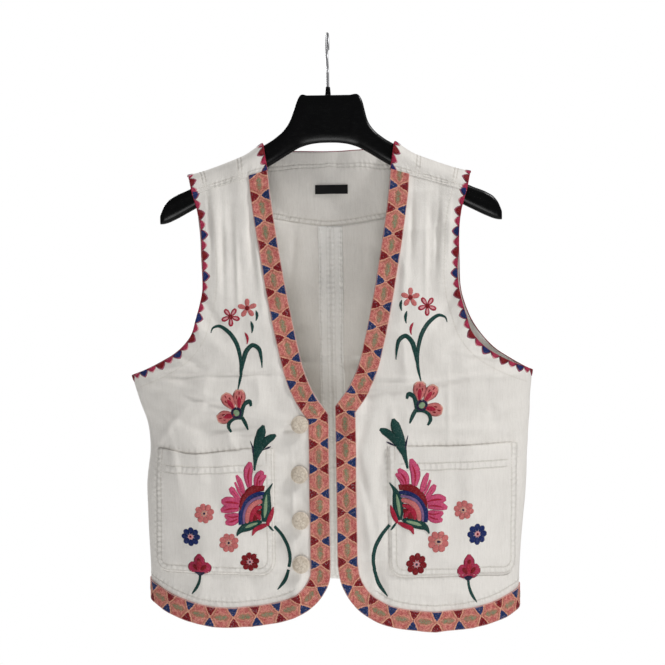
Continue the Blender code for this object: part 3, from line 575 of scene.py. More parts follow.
class Graph:
    """The nodes of one material or world, made by expressions."""

    MIX_A, MIX_B, MIX_RESULT = 6, 7, 2

    def __init__(self, owner: Union[bpy.types.Material, bpy.types.World]) -> None:
        """Start with no nodes."""
        owner.use_nodes = True
        self.tree = owner.node_tree
        self.tree.nodes.clear()

    def node(self, kind: str, settings: Optional[dict] = None,
             inputs: Optional[dict] = None) -> bpy.types.Node:
        """Add any node.

        Args:
            kind: The node's type, such as ShaderNodeMath.
            settings: Its properties, set first.
            inputs: Values or links of its sockets, by name or index.

        Returns:
            The node.
        """
        made = self.tree.nodes.new(kind)
        for key, value in (settings or {}).items():
            setattr(made, key, value)
        for key, value in (inputs or {}).items():
            socket = made.inputs[key]
            value = value.socket if isinstance(value, Value) else value
            if isinstance(value, Socket):
                self.tree.links.new(value, socket)
            else:
                socket.default_value = (*value, 1.0) if socket.type == "RGBA" else value
        return made

    def math(self, operation: str, *values: Number) -> Value:
        """A Math node on up to three values."""
        inputs = dict(enumerate(values))
        return Value(self, self.node("ShaderNodeMath", {"operation": operation}, inputs).outputs[0])

    def mix(self, factor: Number, a: object, b: object) -> Socket:
        """Mix two colours: a where the factor is 0, b where it is 1."""
        inputs = {0: factor, self.MIX_A: a, self.MIX_B: b}
        return self.node("ShaderNodeMix", {"data_type": "RGBA"}, inputs).outputs[self.MIX_RESULT]

    def layers(self, colour: object, *over: tuple[Number, object]) -> Socket:
        """Lay colours over a first one in turn, each with its factor."""
        for factor, top in over:
            colour = self.mix(factor, colour, top)
        return colour

    def attribute(self, name: str, output: str = "Fac") -> Socket:
        """An attribute of the mesh."""
        settings = {"attribute_type": "GEOMETRY", "attribute_name": name}
        return self.node("ShaderNodeAttribute", settings).outputs[output]

    def parts(self, vector: Socket) -> list[Value]:
        """The three numbers of a vector."""
        split = self.node("ShaderNodeSeparateXYZ", None, {0: vector})
        return [Value(self, socket) for socket in split.outputs]

    def plan(self, unit_size: float = 1 / METRES) -> tuple[Value, Value]:
        """The piece's own plan in its UV map, in millimetres unless the map has its own unit."""
        u, v, _ = self.parts(self.node("ShaderNodeUVMap").outputs[0])
        return (u, v) if unit_size == 1 else (u * unit_size, v * unit_size)

    def noise(self, scale: float, detail: float = 2.0, stretch: Sequence[float] = (1, 1, 1),
              vector: Optional[Socket] = None) -> Value:
        """Noise from 0 to 1.

        Args:
            scale: Bumps for each unit of the vector.
            detail: How many finer layers lie on the first.
            stretch: Scale of each axis.
            vector: Where to read it; object coordinates, in metres, if left out.

        Returns:
            The noise.
        """
        at = vector or self.node("ShaderNodeTexCoord").outputs["Object"]
        mapped = self.node("ShaderNodeMapping", None, {"Vector": at, "Scale": stretch}).outputs[0]
        inputs = {"Vector": mapped, "Scale": scale, "Detail": detail}
        return Value(self, self.node("ShaderNodeTexNoise", None, inputs).outputs[0])

    def surface(self, colour: object, roughness: Number, height: Optional[Value] = None,
                **constants: object) -> None:
        """Finish the material with a Principled shader.

        Args:
            colour: Base colour, or its socket.
            roughness: Roughness, or its value.
            height: Relief in millimetres for a Bump node.
            constants: Other inputs of the shader, underscores for spaces.
        """
        inputs = {"Base Color": colour, "Roughness": roughness,
                  **{key.replace("_", " "): value for key, value in constants.items()}}
        if height is not None:
            bump = {"Height": height, "Distance": METRES}
            inputs["Normal"] = self.node("ShaderNodeBump", None, bump).outputs[0]
        shader = self.node("ShaderNodeBsdfPrincipled", None, inputs)
        self.node("ShaderNodeOutputMaterial", None, {"Surface": shader.outputs[0]})


def paint(red: int, green: int, blue: int) -> Colour:
    """A colour as seen on a screen, 0 to 255, as the linear one that shaders use."""
    shares = (red / 255, green / 255, blue / 255)
    return tuple(c / 12.92 if c <= 0.04045 else ((c + 0.055) / 1.055) ** 2.4 for c in shares)


# ---- finishes
class Thread(Enum):
    """Embroidery threads, as linear colours."""

    SALMON = paint(222, 124, 122)
    PEACH = paint(238, 178, 160)
    NAVY = paint(12, 38, 104)
    INK = paint(34, 28, 64)
    DARK_RED = paint(136, 2, 20)
    CRIMSON = paint(184, 26, 60)
    PINK = paint(222, 84, 128)
    PALE_PINK = paint(238, 170, 175)
    LILAC = paint(140, 105, 150)
    MAUVE = paint(176, 96, 118)
    ROSE = paint(184, 44, 82)
    GREEN = paint(8, 68, 62)
    PALE_GREEN = paint(150, 178, 140)


SALMON, PEACH, NAVY, INK, DARK_RED, CRIMSON, PINK, PALE_PINK, LILAC, MAUVE, ROSE, GREEN, PALE_GREEN = Thread


@dataclass(frozen=True)
class Finish:
    """What a piece is finished with: a material's name, and in each kind its colours and nodes."""

    name: str

    def material(self) -> bpy.types.Material:
        """Make the material."""
        made = bpy.data.materials.new(self.name)
        self.dress(Graph(made))
        return made


@dataclass(frozen=True)
class TwillFinish(Finish):
    """Washed white cotton twill, with seam grooves and puckers where it is stitched."""

    name: str = "white_cotton_twill"
    colour: Colour = paint(243, 239, 233)
    shade: Colour = paint(196, 190, 181)
    twill_pitch: float = 0.9
    twill_height: float = 0.035
    streak_height: float = 0.12
    rumple_height: float = 0.7
    groove_width: float = 0.8
    groove_depth: float = 0.5
    pucker_length: float = 7.0
    pucker_reach: float = 5.0
    pucker_height: float = 0.3

    def dress(self, graph: Graph) -> None:
        """Diagonal twill, upright slubs, a soft rumple, and the seams' grooves with puckers; the grooves
        are painted darker as shade and the pucker crests lighter as a highlight.
        """
        u, v = graph.plan()
        distance, along, half_gap = graph.parts(graph.attribute("seam", "Vector"))
        sewn = Value(graph, graph.attribute("sewn"))
        plan = graph.node("ShaderNodeCombineXYZ", None, {0: u, 1: v, 2: 0.0}).outputs[0]
        twill = (u + v * 0.8).wave(self.twill_pitch) * self.twill_height
        streaks = graph.noise(0.45, 2.0, (1.0, 0.09, 1.0), plan)
        rumple = graph.noise(0.07, 3.0, vector=plan)
        fine = graph.noise(0.8, 2.0, vector=plan)
        rows = (abs(distance) - half_gap).bell(self.groove_width) * sewn
        wander = along + rumple * 9.0
        pucker = wander.wave(self.pucker_length) * distance.bell(self.pucker_reach) * sewn
        slub = graph.noise(1.1, 1.0, (1.0, 0.12, 1.0), plan)
        height = (twill + streaks * self.streak_height + rumple * self.rumple_height + fine * 0.06
                  + slub * 0.05 - rows * self.groove_depth + pucker * self.pucker_height)
        # Colour mix: random mottle from the noises, painted shade in the stitch grooves (rows), and a
        # painted highlight on the pucker crests
        mottle_and_painted_light = (streaks.rise(0.3, 0.75) * 0.1 + rumple * 0.16 + slub.rise(0.4, 0.8) * 0.1
                 + fine.rise(0.45, 0.75) * 0.1 + rows * 0.34 + pucker.rise(0.1, 1.0) * -0.06)
        graph.surface(graph.mix(mottle_and_painted_light, self.colour, self.shade), 0.86, height, Sheen_Weight=0.1,
                      Sheen_Roughness=0.5, Specular_IOR_Level=0.25)


@dataclass(frozen=True)
class BorderFinish(Finish):
    """Woven-look embroidered border: paired triangles, crossing lines and small zigzags.

    Along the band, u counts repeats: the triangles' tips meet where u is whole. Across it, v
    runs from 0 at the garment's edge to 1.
    """

    name: str = "embroidered_border"
    ground: Colour = paint(184, 82, 80)
    ground_light: Colour = paint(226, 150, 136)
    line: Colour = paint(230, 184, 148)
    navy: Colour = paint(12, 46, 100)
    red: Colour = paint(128, 0, 16)
    sage: Colour = paint(112, 144, 110)
    olive: Colour = paint(158, 120, 76)
    selvedge: Colour = paint(230, 184, 176)
    repeat: float = 27.0
    half_base: float = 6.1
    depth: float = 9.9
    motif_length: float = 9.6
    motif_width: float = 3.5
    row_pitch: float = 1.7

    def relief(self, u: Array, v: Array) -> Array:
        """Height of the stitching in millimetres: domed patches, raised lines and zigzags.

        A patch's half width at a depth share t is half_base (0.45 (1 - t) + 0.55 sqrt(1 - t)).

        Args:
            u: Repeats along the band.
            v: Share of the way across it.

        Returns:
            The height.
        """
        along = (u - np.round(u)) * self.repeat
        across = BAND_WIDTH * np.minimum(v, 1 - v)
        left = np.clip(1 - across / self.depth, 0, 1)
        distance = (np.abs(along) - self.half_base * (0.45 * left + 0.55 * np.sqrt(left))) * 0.86
        middle = (u - np.floor(u) - 0.5) * self.repeat
        cell = np.abs(middle) / self.motif_length + np.abs(v - 0.5) * BAND_WIDTH / 3.8
        zigzag = smoothstep(1.15, 0.8, cell) * (0.7 + 0.3 * np.cos(middle * 2 * math.pi / 2.8))
        return (0.55 * smoothstep(0.4, -2.0, distance) + 0.28 * bell(distance - 0.8, 0.6)
                + 0.3 * zigzag + 0.25 * bell(across - 0.5, 0.6))

    def dress(self, graph: Graph) -> None:
        """The same pattern in colour, with the rows of thread as fine relief."""
        u, v = graph.plan(1)
        swap = Value(graph, graph.attribute("swap"))
        whole = graph.math("ROUND", u)
        along = abs(u - whole) * self.repeat
        across = graph.math("MINIMUM", v, 1 - v) * BAND_WIDTH
        speck = graph.noise(560.0)
        thread = graph.noise(1300.0, 1.0)
        ragged = (speck - 0.5) * 1.7
        left = graph.math("MAXIMUM", 1 - across * (1 / self.depth), 0.0)
        side = (left * 0.45 + graph.math("SQRT", left) * 0.55) * self.half_base
        distance = (along - side) * 0.86 + ragged
        outer = (along + across * 0.56 - self.half_base) * 0.87 + ragged
        patch_mask = distance.rise(0.3, -0.2)
        line = (distance - 0.75).bell(0.5)
        second = (outer - 2.7).bell(0.45) * across.rise(11.6, 10.0)
        turn = ((whole + swap + v.rise(0.49, 0.51)) * 0.5).fraction().rise(0.2, 0.3)
        patch = graph.mix(turn, self.red, self.navy)
        deep = graph.mix(0.5, patch, (0.0, 0.0, 0.004))
        patch = graph.layers(patch, ((distance + 2.6).bell(0.55) * 0.75, deep),
                             (speck.rise(0.55, 0.7) * 0.35, (0.5, 0.4, 0.45)))

        middle = (u.fraction() - 0.5) * self.repeat
        from_centre = abs(v - 0.5) * BAND_WIDTH
        lobes = middle.wave(6.2) * 0.12 + 0.88
        reach = (1 - abs(middle) * (1 / self.motif_length)).rise(0.0, 0.55)
        shape = from_centre + ragged - lobes * reach * self.motif_width
        stripe = (abs(middle) + from_centre * 0.9).wave(1.8).rise(-0.1, 0.6)
        motif = graph.mix(stripe * 0.3 + shape.rise(-1.9, -0.6) * 0.6, self.sage, self.olive)
        outline = (shape - 1.0).bell(0.6) * abs(middle).rise(10.6, 9.2)

        rows = v.wave(self.row_pitch / BAND_WIDTH)
        tone = graph.noise(230.0).rise(0.35, 0.65)
        ground = graph.layers(
            self.ground,
            (tone * 0.5 + rows * 0.15 + speck.rise(0.4, 0.65) * 0.5 - 0.05, self.ground_light),
            (outline * 0.3, self.line),
            (shape.rise(0.9, -0.8) * (0.45 + speck.rise(0.4, 0.6) * 0.5), motif),
            (second * 0.6, self.olive),
            (line * (0.6 + speck.rise(0.35, 0.6) * 0.4), self.line),
            (patch_mask, patch),
            (across.rise(0.95, 0.55) * 0.7, self.selvedge))
        shaded = graph.layers(
            ground,
            (thread.rise(0.5, 0.68) * 0.6, graph.mix(0.55, ground, (0.01, 0.0, 0.005))),
            (thread.rise(0.46, 0.32) * 0.5 * (1 - patch_mask * 0.7),
             graph.mix(0.3, ground, (0.9, 0.72, 0.66))))
        height = rows * 0.09 + thread * 0.3 + speck * 0.2 + patch_mask * 0.15 + line * 0.15
        graph.surface(shaded, 0.66, height, Sheen_Weight=0.03, Specular_IOR_Level=0.2)


@dataclass(frozen=True)
class ThreadFinish(Finish):
    """Satin-stitched thread, its colour from the mesh, its threads across the piece's plan."""

    name: str = "embroidery_thread"
    thread_pitch: float = 0.62

    def dress(self, graph: Graph) -> None:
        """Fine thread lines with a little wander, and a soft lustre."""
        u, v = graph.plan()
        tint = graph.attribute("tint", "Color")
        lines = (u + graph.noise(260.0, 1.0) * 0.5).wave(self.thread_pitch)
        lint = graph.noise(1300.0)
        fleck = graph.noise(620.0)
        shade = lines.rise(0.0, -0.9) * 0.6 + lint.rise(0.5, 0.72) * 0.5 + abs(v).rise(0.72, 1.0) * 0.35
        colour = graph.layers(tint, (shade, graph.mix(0.55, tint, (0.0, 0.0, 0.0))),
                              (fleck.rise(0.52, 0.66) * 0.6, graph.mix(0.06, tint, (1.0, 0.93, 0.9))))
        graph.surface(colour, 0.5, lines * 0.08 + lint * 0.12 + fleck * 0.1, Sheen_Weight=0.03,
                      Specular_IOR_Level=0.22)


@dataclass(frozen=True)
class SewingFinish(Finish):
    """White sewing thread of the topstitching."""

    name: str = "white_sewing_thread"
    colour: Colour = paint(232, 227, 219)
    shade: Colour = paint(200, 194, 182)

    def dress(self, graph: Graph) -> None:
        """Twisted cotton thread."""
        twist = graph.noise(2200.0, 1.0)
        graph.surface(graph.mix(twist * 0.3, self.colour, self.shade), 0.7, twist * 0.05,
                      Specular_IOR_Level=0.3)


@dataclass(frozen=True)
class ButtonFinish(Finish):
    """Cream cast buttons, with painted shade where the pattern is sunk."""

    name: str = "cream_button"
    colour: Colour = paint(222, 210, 193)
    # Colour of the painted shade in the pattern's hollows
    sunk: Colour = paint(176, 160, 140)

    def dress(self, graph: Graph) -> None:
        """Slightly mottled, with painted shade on the low parts, read from the relief's own attribute."""
        low = Value(graph, graph.attribute("sunk"))
        mottle = graph.noise(330.0, 3.0)
        colour = graph.mix(low * 0.5 + mottle.rise(0.42, 0.62) * 0.4, self.colour, self.sunk)
        graph.surface(colour, 0.45 + mottle * 0.12, mottle * 0.55, Coat_Weight=0.08)


@dataclass(frozen=True)
class LabelFinish(Finish):
    """Black woven satin label, blank."""

    name: str = "black_woven_label"
    colour: Colour = (0.004, 0.004, 0.0045)
    lint: Colour = (0.02, 0.02, 0.021)

    def dress(self, graph: Graph) -> None:
        """Fine crosswise ribs with a dull shine."""
        u, v = graph.plan()
        lint = graph.noise(900.0)
        graph.surface(graph.mix(lint * 0.25, self.colour, self.lint), 0.6 + lint * 0.1,
                      v.wave(0.5) * 0.03 + u.wave(0.7) * 0.015, Specular_IOR_Level=0.2)


@dataclass(frozen=True)
class PlasticFinish(Finish):
    """Glossy black moulded plastic with faint handling marks."""

    name: str = "black_gloss_plastic"
    colour: Colour = (0.0016, 0.0016, 0.0019)
    worn: Colour = (0.006, 0.006, 0.0065)
    roughness: float = 0.22
    grain: float = 0.004

    def dress(self, graph: Graph) -> None:
        """A slow waviness of the moulding, and roughness that varies along the surface."""
        waves = graph.noise(26.0)
        marks = graph.noise(140.0, 3.0, (1.0, 1.0, 2.5))
        graph.surface(graph.mix(marks.rise(0.55, 0.9) * 0.3, self.colour, self.worn),
                      marks.rise(0.35, 0.8) * 0.08 + self.roughness,
                      waves * 0.1 + marks * self.grain, Specular_IOR_Level=0.16)


@dataclass(frozen=True)
class SteelFinish(Finish):
    """Bright drawn steel wire."""

    name: str = "bright_steel_wire"
    colour: Colour = (0.42, 0.42, 0.43)

    def dress(self, graph: Graph) -> None:
        """Drawing lines along the wire."""
        lines = graph.noise(700.0, 2.0, (1.0, 1.0, 0.08))
        graph.surface(self.colour, lines * 0.15 + 0.38, lines * 0.004, Metallic=1.0)


@dataclass(frozen=True)
class FloorFinish(Finish):
    """Plain pale floor that glows a little."""

    name: str = "pale_floor"
    colour: Colour = (0.86, 0.86, 0.86)
    shade: Colour = (0.8, 0.8, 0.8)
    glow: float = 0.3

    def dress(self, graph: Graph) -> None:
        """A very soft mottle."""
        graph.surface(graph.mix(graph.noise(3.0) * 0.1, self.colour, self.shade), 0.9,
                      Specular_IOR_Level=0.1, Emission_Color=(1.0, 1.0, 1.0), Emission_Strength=self.glow)


# ---- meshes
@dataclass
class Patch:
    """Grids of points in millimetres, (..., rows, columns, 3), with what their vertices carry.

    Its faces look towards a direction, or outward where none is given and each grid is a
    closed body. A round patch joins its last column to its first.
    """

    points: Array
    towards: Optional[tuple[float, float, float]] = None
    uv: Optional[Array] = None
    carried: dict[str, Array] = field(default_factory=dict)
    round: bool = False

    def corners(self) -> Array:
        """Corner numbers of its quads, wound by the sign of the faces' summed outlook.

        Returns:
            Four numbers for each quad, (quads, 4).
        """
        shape = self.points.shape[:-1]
        index = np.arange(math.prod(shape)).reshape(shape)
        if self.round:
            index = np.concatenate([index, index[..., :1]], axis=-1)
        quads = np.stack([index[..., :-1, :-1], index[..., :-1, 1:],
                          index[..., 1:, 1:], index[..., 1:, :-1]], axis=-1).reshape(-1, 4)
        at = (self.points - self.points.mean(axis=(-3, -2), keepdims=True)).reshape(-1, 3)[quads]
        normals = np.cross(at[:, 2] - at[:, 0], at[:, 3] - at[:, 1])
        outlook = at.mean(axis=1) if self.towards is None else self.towards
        return quads[:, ::-1] if np.sum(normals * outlook) < 0 else quads


def mesh_of(name: str, patches: Sequence[Patch]) -> bpy.types.Mesh:
    """One mesh of all patches: merged to a micron, poles closed with triangles.

    Args:
        name: The mesh's name.
        patches: The patches; all have a plan and carry the same as the first, or none does.

    Returns:
        The mesh, shaded smooth, with its plan as UV map and what it carries as attributes.
    """
    points = np.concatenate([patch.points.reshape(-1, 3) for patch in patches])
    starts = np.cumsum([0, *[patch.points.size // 3 for patch in patches[:-1]]])
    quads = np.concatenate([patch.corners() + start for patch, start in zip(patches, starts)])
    _, first, merged = np.unique(np.round(points, 3), axis=0, return_index=True, return_inverse=True)
    merged = merged.reshape(-1)
    twice = merged[quads] == np.roll(merged[quads], -1, axis=1)
    whole, pinched = twice.sum(axis=1) == 0, twice.sum(axis=1) == 1
    source = np.concatenate([quads[whole].ravel(), quads[pinched][~twice[pinched]]])
    sizes = np.repeat([4, 3], [whole.sum(), pinched.sum()])

    mesh = bpy.data.meshes.new(name)
    mesh.vertices.add(len(first))
    mesh.vertices.foreach_set("co", (points[first] * METRES).ravel())
    mesh.loops.add(len(source))
    mesh.loops.foreach_set("vertex_index", merged[source].astype(np.int32))
    mesh.polygons.add(len(sizes))
    mesh.polygons.foreach_set("loop_start", (np.cumsum(sizes) - sizes).astype(np.int32))
    if patches[0].uv is not None:
        uv = np.concatenate([patch.uv.reshape(-1, 2) for patch in patches])
        mesh.uv_layers.new(name="Plan").data.foreach_set("uv", uv[source].ravel())
    for key, sample in patches[0].carried.items():
        width = sample.shape[-1] if sample.ndim == patches[0].points.ndim else 1
        values = np.concatenate([patch.carried[key].reshape(-1, width) for patch in patches])[first]
        kind, slot = {1: ("FLOAT", "value"), 3: ("FLOAT_VECTOR", "vector"),
                      4: ("FLOAT_COLOR", "color")}[width]
        mesh.attributes.new(key, kind, "POINT").data.foreach_set(slot, values.ravel())
    mesh.update(calc_edges=True)
    mesh.validate()
    mesh.shade_smooth()
    return mesh


def linked(name: str, data: bpy.types.ID) -> Object:
    """A new object in the scene."""
    obj = bpy.data.objects.new(name, data)
    bpy.context.scene.collection.objects.link(obj)
    return obj


@dataclass
class Workshop:
    """Makes the finished pieces, each with its finish and its place in the part."""

    materials: dict[Finish, bpy.types.Material] = field(default_factory=dict)

    def piece(self, name: str, patches: Sequence[Patch], finish: Finish,
              node: str = "", wall: float = 0.0) -> Object:
        """Make one piece.

        Args:
            name: The object's name.
            patches: Its surfaces; points that fall together are merged.
            finish: What it is finished with; each finish's material is made once.
            node: The CAD node that it stands for, if any.
            wall: Thickness of cloth added behind the surface with Solidify.

        Returns:
            The object.
        """
        obj = linked(name, mesh_of(name, patches))
        if finish not in self.materials:
            self.materials[finish] = finish.material()
        obj.data.materials.append(self.materials[finish])
        if wall:
            solid = obj.modifiers.new("Cloth wall", "SOLIDIFY")
            solid.thickness = wall * METRES
            solid.offset = -1.0
        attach(obj, "root")
        if node:
            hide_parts(node)
        LOG.info("%s: %d faces", name, len(obj.data.polygons))
        return obj

    def cloth(self, node: str, patches: Sequence[Patch], grids: Sequence[Array],
              rests_on: Sequence[str], wall: float = PANEL_WALL) -> Object:
        """Make a piece of twill that stands for a CAD node.

        Args:
            node: The CAD node, which also names the piece.
            patches, grids: Its surfaces, and the same laid out flat.
            rests_on: The pieces that carry it; not used.
            wall: Its thickness.

        Returns:
            The object.
        """
        obj = self.piece(f"{node}_cloth", patches, TwillFinish(), node, wall)
        extent = np.ptp(np.concatenate([grid.reshape(-1, 2) for grid in grids]), axis=0) * METRES
        width, length = map(float, extent)
        area = min(sum(grid_area(grid) for grid in grids), width * length)
        return obj

    def stitching(self, name: str, *sets: tuple[Sequence["StitchLine"], Place]) -> Object:
        """Make sewing thread from sets of stitch lines, each with how it is placed on its cloth."""
        patches = [Topstitching().patch(lines, place) for lines, place in sets]
        return self.piece(f"{name}_stitching", patches, SewingFinish())


# ---- stitch lines
@dataclass(frozen=True)
class StitchLine:
    """A line of topstitching on a panel's flat plan, or a twin line half_gap to each side.

    Its pull, from 0 to 1, is how much it puckers the cloth.
    """

    path: Array
    half_gap: float = 0.0
    pull: float = 1.0

    def rows(self) -> list[Array]:
        """The one or two lines that the needle followed."""
        if not self.half_gap:
            return [self.path]
        return [inset(self.path, gap) for gap in (-self.half_gap, self.half_gap)]


def seam_field(flat: Array, lines: Sequence[StitchLine]) -> dict[str, Array]:
    """Where each point of a flat grid lies beside its nearest stitch line.

    The distance to a straight run a-b is |p - a - t (b - a)| with t the projection clipped to
    0..1, signed by the side; the smallest one over all runs of all lines is kept.

    Args:
        flat: Points (..., 2).
        lines: The panel's lines.

    Returns:
        "seam": signed distance, length along the line, and the line's half gap, (..., 3); and
        "sewn": 1 near a line, fading to 0 away from it and where two lines are equally near,
        because there the values jump from one line's to the other's.
    """
    points = flat.reshape(-1, 2)
    row = np.arange(len(points))
    best = np.full((len(points), 3), (1e3, 0.0, 0.0))
    second, pull = np.full(len(points), 1e3), np.ones(len(points))
    for line in lines:
        start, step = line.path[:-1], np.diff(line.path, axis=0)
        length = np.linalg.norm(step, axis=1)
        rel = points[:, None] - start[None]
        t = np.clip((rel * step).sum(axis=-1) / length ** 2, 0, 1)
        distance = np.linalg.norm(rel - t[..., None] * step, axis=-1)
        near = distance.argmin(axis=1)
        side = np.sign(step[near, 0] * rel[row, near, 1] - step[near, 1] * rel[row, near, 0])
        found = np.column_stack([distance[row, near] * np.where(side < 0, -1, 1),
                                 length_along(line.path)[near] + t[row, near] * length[near],
                                 np.full(len(points), line.half_gap)])
        new, old = np.abs(found[:, 0]), np.abs(best[:, 0])
        closer = new < old
        second = np.minimum(second, np.where(closer, old, new))
        best = np.where(closer[:, None], found, best)
        pull = np.where(closer, line.pull, pull)
    clear = smoothstep(3.5, 7.0, second - np.abs(best[:, 0]))
    near = smoothstep(4.0, 0.0, np.abs(best[:, 0]) - best[:, 2] - 4.0)
    shape = flat.shape[:-1]
    return {"seam": best.reshape(*shape, 3), "sewn": (near * clear * pull).reshape(shape)}


@dataclass(frozen=True)
class Topstitching:
    """Real thread on the stitch lines: short capsules, sunk at their ends."""

    pitch: float = 3.2
    length: float = 2.3
    radius: float = 0.36
    sides: int = 5
    lift: float = 0.02

    def patch(self, lines: Sequence[StitchLine], place: Place) -> Patch:
        """All stitches of some lines as one patch of closed capsules.

        A capsule's rings stand at -1, -0.8, 0, 0.8 and 1 of its half length with radii 0, 0.75,
        1, 0.75 and 0; its middle is highest, as thread is pulled down at both needle holes.

        Args:
            lines: The lines.
            place: Puts flat points with a lift on the cloth.

        Returns:
            The patch.
        """
        at, along = [], []
        for row in (row for line in lines for row in line.rows()):
            count = max(int(length_along(row)[-1] / self.pitch), 1)
            shares = (np.arange(count) + 0.5) / count
            at.append(point_on(row, shares))
            along.append(heading(row, shares, 0.4))
        centre, tangent = np.concatenate(at), np.concatenate(along)
        reach = np.array([-1, -0.8, 0, 0.8, 1])[:, None] * self.length / 2
        swell = np.array([0, 0.75, 1, 0.75, 0])[:, None] * self.radius
        turn = round_angles(self.sides)
        flat = (centre[:, None, None] + tangent[:, None, None] * reach[..., None]
                + leftward(tangent)[:, None, None] * (swell * np.cos(turn))[..., None])
        lift = self.lift + swell * np.sin(turn) - 0.2 * (reach / self.length) ** 2
        return Patch(place(flat, np.broadcast_to(lift, flat.shape[:-1])), round=True)


# ---- panels
@dataclass(frozen=True)
class BandRepeats:
    """How a band's repeats lie along it, by the length of its middle line.

    The opposite triangles' two colours change places after each of the swaps.
    """

    lengths: tuple[float, ...]
    numbers: tuple[float, ...]
    swaps: tuple[float, ...] = ()

    def number(self, middle: Array) -> Array:
        """The repeat number along a flat middle line, by a smooth curve through the table."""
        return smooth_lookup(self.lengths, self.numbers, length_along(middle))

    def swapped(self, number: Array) -> Array:
        """1 where the colours have changed places an odd number of times."""
        return (number[..., None] > np.array(self.swaps or (1e9,))).sum(axis=-1) % 2.0


LEFT_REPEATS = BandRepeats(
    (0, 27.3, 56.8, 85.1, 114.6, 141.7, 249.4, 275.1, 298.9, 327.5, 356.2, 384.4, 411.5, 492.4,
     573.3, 599.9, 626.9, 721.8),
    (1.02, 2, 3, 4, 5, 6, 10, 11, 12, 13, 14, 15, 16, 19, 22, 23, 24, 27.55), (-9, 8.5, 19.5))
RIGHT_REPEATS = BandRepeats(
    (0, 18.1, 45.4, 75.2, 102.4, 132.1, 160.6, 186.8, 214.4, 240.6, 267.2, 291.6, 321.1, 349.8,
     378.0, 407.2, 490.0, 572.0, 626.0, 722.9), (0.36, *range(1, 16), 18, 21, 23, 26.6), (8.5, 18.5))
BACK_REPEATS = BandRepeats((0, 250.0), (0.5, 9.8))


@dataclass(frozen=True)
class Panel:
    """Half of one face of the garment, laid out flat as (arc from the centre line, height)."""

    name: str
    side: int
    armhole_points: Rows
    repeats: BandRepeats
    face: ClassVar[Face]
    seam_out: ClassVar[Pair]

    @property
    def node(self) -> str:
        """Its name among the CAD nodes."""
        return f"{self.face.value}_{self.name}"

    @property
    def look(self) -> tuple[float, float, float]:
        """The direction in which its outer face looks."""
        return (self.side, self.face.away * 1.5, 0.1)

    def place(self, flat: Array, lift: Union[float, Array] = 0.0) -> Array:
        """Put flat points on its outer face, moved out by a lift."""
        return FORM.wrap(self.face, self.side, flat, lift)

    def within(self, flat: Array, lift: Array, wall: float = PANEL_WALL) -> Array:
        """Put flat points on its inner face, moved in by a lift."""
        return self.place(flat, -wall - lift)

    def patch(self, flat: Array, lines: Sequence[StitchLine], lift: Union[float, Array] = 0.0) -> Patch:
        """Cloth on it, with its plan as UV and its seams as an attribute."""
        return Patch(self.place(flat, lift + np.zeros(flat.shape[:2])), self.look,
                     flat * (self.side * METRES, METRES), seam_field(flat, lines))

    def armhole(self, count: int) -> Array:
        """Flat points down the armhole, even by length, from the yoke seam to the armpit.

        Args:
            count: How many equal parts.

        Returns:
            The points.
        """
        start = (self.seam_out[0], self.seam_out[1] - SEAM_GAP)
        armpit = (float(FORM.half_width(ARMPIT_Z)), ARMPIT_Z)
        path = FORM.from_front(smooth_path([start, *self.armhole_points, armpit]))
        return point_on(path, np.linspace(0, 1, count + 1))

    def facing_line(self, pull: float = 1.0) -> StitchLine:
        """The line that holds the facing along the armhole."""
        return StitchLine(inset(self.armhole(60), -FACING_WIDTH)[1:-4], pull=pull)

    def panel(self, shop: Workshop, grids: Sequence[Array], lines: Sequence[StitchLine]) -> Object:
        """Make its cloth."""
        patches = [self.patch(grid, lines) for grid in grids]
        return shop.cloth(self.node, patches, grids, ("hanger_moulding", "yoke_cloth"))

    def border(self, shop: Workshop, flat: Array) -> Object:
        """Make the band on its edge, the outer face raised by the stitching's relief.

        Args:
            shop: Makes the piece.
            flat: The band's flat grid, row by row from the edge inward.

        Returns:
            The object.
        """
        name, finish = f"border_{self.node}", BorderFinish()
        middle = (flat[0] + flat[-1]) / 2
        number, v = np.broadcast_arrays(self.repeats.number(middle),
                                        np.linspace(0, 1, len(flat))[:, None])
        points = self.place(flat, LAYER_GAP + BAND_WALL + finish.relief(number, v))
        patch = Patch(points, self.look, np.stack([number, v], axis=-1),
                      {"swap": self.repeats.swapped(number)})
        obj = shop.piece(f"{name}_band", [patch], finish, name, LAYER_GAP + BAND_WALL + 0.1)
        length = float(length_along(middle)[-1]) * METRES
        f"{self.node}_cloth"
        return obj


